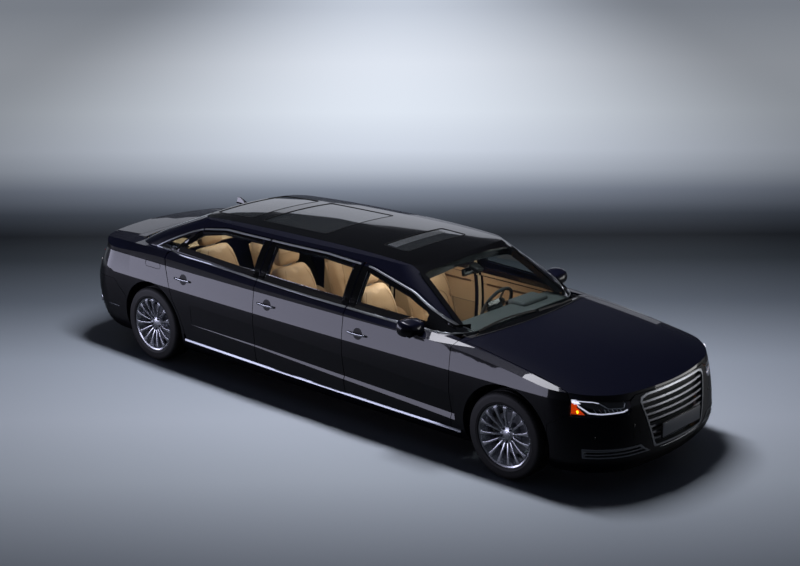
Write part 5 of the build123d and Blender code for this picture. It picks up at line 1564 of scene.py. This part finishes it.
LEANS = {"back": leaning(-0.350, 0.790, 18), "cushion": leaning(-0.040, 0.430, 6),
         "head": leaning(-0.452, 1.142, 12)}
pads = {"back": back, "cushion": cushion, "head": head}
for row, x in ROWS:
    for side, y in (("right", -0.362), ("left", 0.362)):
        for kind, pad in pads.items():
            place_at = Matrix.Translation((x, y, 0)) @ LEANS[kind]
            piece = copied(pad, place_at)
            piece.name = f"{row}_{kind}_{side}"
            done(piece, leather, "body", "leather", 60, (row,) if kind == "back" else ())
            for trim, look in parts[kind]:
                extra = copied(trim, place_at)
                extra.name = f"{row}_{trim.name}_{side}"
                done(extra, look, "body", "leather", 60)
        base = block(f"{row}_base_{side}", (0.440, 0.420, 0.065), (x - 0.060, y, 0.2755), 0.012, 2)
        done(base, grained_black, "body", "trim_dark")
        shell_back = block(f"{row}_shell_{side}", (0.022, 0.400, 0.440), (0, 0, 0), 0.009, 3)
        behind = LEANS["back"] @ Matrix.Translation((-0.074, 0, -0.03))
        shell_back.data.transform(Matrix.Translation((x, y, 0)) @ behind)
        done(shell_back, leather, "body", "leather")
        stalk = block(f"{row}_stalk_{side}", (0.012, 0.110, 0.090), (x - 0.445, y, 1.075), 0.004, 2,
                      (0, math.radians(-15), 0))
        done(stalk, satin_silver, "body", "steel")
for kind, pad in pads.items():
    for trim, look in parts[kind]:
        bpy.data.objects.remove(trim)
    bpy.data.objects.remove(pad)
print("seats", 2 * len(ROWS))

# %% [markdown]
# ## Dash, steering wheel and console
# The dash is a soft moulded skin with a hood over the dials, a strip of walnut and a screen. The
# steering wheel's rim is a leather-wrapped ring on a padded hub with three spokes. Everything on
# the wheel is made flat about the origin and then moved by one matrix to the column's slope,
# which is easier than modelling on a slant.

# %% Dash and steering wheel
dash = nodes["dashboard"]
dash.material_slots[0].material = dash_skin
STEER = Matrix.Translation((1.060, 0.370, 0.870)) @ Matrix.Rotation(math.radians(-65), 4, "Y")
hood = block("dial_hood", (0.190, 0.340, 0.060), (1.400, 0.370, 0.985), 0.026, 4)
done(hood, dash_skin, "body", "trim_dark")
dials = block("dial_glass", (0.006, 0.300, 0.085), (1.288, 0.370, 0.935), 0.002, 2,
              (0, math.radians(-12), 0))
done(dials, screen_glass, "body", "black_gloss")
screen = block("dash_screen", (0.010, 0.190, 0.100), (1.330, 0.0, 1.010), 0.004, 2,
               (0, math.radians(-10), 0))
done(screen, screen_glass, "body", "black_gloss")
wood = block("dash_veneer", (0.008, 1.300, 0.055), (1.269, 0.0, 0.868), 0.003, 2,
             (0, math.radians(8), 0))
done(wood, veneer, "body", "trim_dark")
for number, y in enumerate((-0.62, -0.12, 0.12, 0.62)):
    vent = block(f"dash_vent_{number}", (0.010, 0.095, 0.040), (1.292, y, 0.922), 0.004, 2)
    done(vent, satin_silver, "body", "chrome")
clear()
bpy.ops.mesh.primitive_torus_add(major_segments=64, minor_segments=14, major_radius=0.181,
                                 minor_radius=0.0155)
rim_ring = bpy.context.object
rim_ring.name = "steering_rim"
rim_ring.data.transform(STEER)
done(rim_ring, dash_skin, "steering_wheel", "leather", 60, ("steering_wheel",))
boss = block("steering_boss", (0.150, 0.130, 0.050), (0, 0, 0), 0.022, 4)
boss.data.transform(STEER @ Matrix.Translation((0, 0, -0.010)))
done(boss, dash_skin, "steering_wheel", "trim_dark")
for number, turn in enumerate((0, 90, 270)):
    arm = block(f"steering_spoke_{number}", (0.130, 0.034, 0.014), (0.115, 0, -0.004), 0.005, 3)
    arm.data.transform(STEER @ Matrix.Rotation(math.radians(turn), 4, "Z"))
    done(arm, satin_silver, "steering_wheel", "chrome")
column = block("steering_column", (0.060, 0.060, 0.160), (0, 0, 0), 0.014, 3)
column.data.transform(STEER @ Matrix.Translation((0, 0, -0.125)))
done(column, dash_skin, "body", "trim_dark")
print("steering wheel at", tuple(round(v, 3) for v in STEER.translation))

# %% [markdown]
# ## Console and armrests
# The armrests between the seats are small foam pads, so they are filled in the same way as the
# seats. The selector and the veneer round it are rounded blocks, since wood and moulded plastic
# have crisp shapes.

# %% Console and armrests
nodes["centre_console"].material_slots[0].material = dash_skin
for number, (x, length, z) in enumerate(((0.665, 0.36, 0.628), (-0.34, 0.36, 0.445),
                                         (-0.85, 0.30, 0.445))):
    pad = soft(f"console_pad_{number}", (length, 0.170, 0.046), lambda u, v, w, spot: spot, 0.012)
    pad.data.transform(Matrix.Translation((x, 0, z)))
    done(pad, leather, "body", "leather", 60)
top = block("console_veneer", (0.36, 0.150, 0.006), (1.05, 0, 0.424), 0.002)
done(top, veneer, "body", "trim_dark")
lever = block("selector", (0.050, 0.045, 0.075), (1.00, 0, 0.462), 0.014, 3)
done(lever, dash_skin, "body", "trim_dark")
print("dash and console done")

# %% [markdown]
# ## Door cards
# The inner doors are boards wrapped in the same leather, in three panels with a strip of veneer
# between them and a padded armrest. They are sheets laid on the door's inner face, which a search
# tree of that door alone finds.

# %% Door cards
cards = []
for body, x0, x1 in (("front_door_right", 0.54, 1.46), ("middle_door_right", -0.55, 0.43),
                     ("rear_door_right", -1.50, -0.64)):
    inner = tree_of([nodes[body]])

    def on_card(x, z):
        hit = first_hit((x, 0, z), (0, -1, 0), [(0, 0, 0)], inner)
        return hit or Vector((x, -0.849, z)), Vector((0, 1, 0))
    columns = [x0 + (x1 - x0) * k / 8 for k in range(9)]
    for part, z0, z1, material in (("low", 0.36, 0.66, carpet), ("middle", 0.665, 0.86, leather),
                                   ("top", 0.865, 0.975, leather)):
        piece = patch(f"card_{part}_{body}", [(x, z0) for x in columns], [(x, z1) for x in columns],
                      6, 0.004, on_card, 0.004)
        cards.append(done(piece, material, body, "leather" if material is leather else "trim_dark"))
    middle = (x0 + x1) / 2
    rest = block(f"card_armrest_{body}", (0.46, 0.050, 0.065), (middle, -0.828, 0.655), 0.020, 4)
    cards.append(done(rest, leather, body, "leather"))
    wood = strip(f"card_veneer_{body}", fine([(x0 + 0.04, 0.862), (x1 - 0.04, 0.862)], 0.10, 0),
                 0.030, 0.007, on_card)
    cards.append(done(wood, veneer, body, "trim_dark"))
for piece in cards:
    to_left(piece)
print("door cards", 2 * len(cards))

# %% [markdown]
# ## Headlining, visors and inner mirror
# The headlining is a moulded board that follows the roof from below and is open under each pane.
# It starts as a grid whose points are raised to the roof, smoothed downwards so that it never
# cuts through, and then its faces under the panes are deleted. A mirror and two visors hang at
# its front, and a shelf closes the boot off.

# %% Headlining, visors, mirror and rear shelf
LINER_X, LINER_Y = 0.055, 0.05   # size of a grid cell
PANE_EDGE = 0.035                # how far the liner runs in under a pane
roof_tree = tree_of([nodes[name] for name in ("roof_panel", "roof_rails", "roof_glass")])


def under_roof(x, y):
    """Underside of the roof at x and y."""
    hit = first_hit((x, y, 1.10), (0, 0, 1), [(0, 0, 0)], roof_tree)
    return hit or Vector((x, y, 1.335)), Vector((0, 0, -1))


clear()
xs = [0.97 - LINER_X * k for k in range(49)]
ys = [-0.575 + LINER_Y * k for k in range(24)]
liner = grid("headlining", len(xs), len(ys),
             lambda i, j: under_roof(xs[i], ys[j])[0] - Vector((0, 0, 0.006)))
for _ in range(2):
    level = {}
    for vertex in liner.data.vertices:
        level[(round(vertex.co.x, 3), round(vertex.co.y, 3))] = vertex.co.z
    for vertex in liner.data.vertices:
        x, y = round(vertex.co.x, 3), round(vertex.co.y, 3)
        beside = ((LINER_X, 0), (-LINER_X, 0), (0, LINER_Y), (0, -LINER_Y))
        near = [level.get((round(x + a, 3), round(y + b, 3))) for a, b in beside]
        near = [z for z in near if z is not None]
        vertex.co.z = min(vertex.co.z, sum(near) / len(near) if near else vertex.co.z)
bpy.ops.object.mode_set(mode="EDIT")
bpy.ops.mesh.select_all(action="DESELECT")
bpy.ops.object.mode_set(mode="OBJECT")
for face in liner.data.polygons:
    x, y = face.center.x, face.center.y
    face.select = any(abs(x - px) < hx - PANE_EDGE and abs(y) < hy - PANE_EDGE
                      for _, px, hx, hy in PANES)
bpy.ops.object.mode_set(mode="EDIT")
bpy.ops.mesh.delete(type="FACE")
bpy.ops.object.mode_set(mode="OBJECT")
if sum(face.normal.z for face in liner.data.polygons) > 0:
    liner.data.flip_normals()
modify(liner, "SOLIDIFY", thickness=0.003, offset=1.0)
done(liner, headlining, "body", "trim_dark", 60)
for side, y in (("right", -0.33), ("left", 0.33)):
    z = under_roof(0.93, y)[0].z
    visor = block(f"visor_{side}", (0.150, 0.360, 0.016), (0.90, y, z - 0.026), 0.007, 3,
                  (0, math.radians(4), 0))
    done(visor, headlining, "body", "trim_dark")
inner_mirror = block("cabin_mirror", (0.030, 0.230, 0.065), (1.075, 0, 1.268), 0.012, 3,
                     (0, math.radians(-10), 0))
done(inner_mirror, gloss_black, "body", "black_gloss")
mount = block("cabin_mirror_mount", (0.110, 0.090, 0.040), (1.130, 0, 1.300), 0.012, 3,
              (0, math.radians(24), 0))
done(mount, grained_black, "body", "black_plastic")
shelf = block("rear_shelf", (0.360, 1.180, 0.012), (-2.24, 0, 0.990), 0.004)
done(shelf, leather, "body", "leather")
print("cabin done")
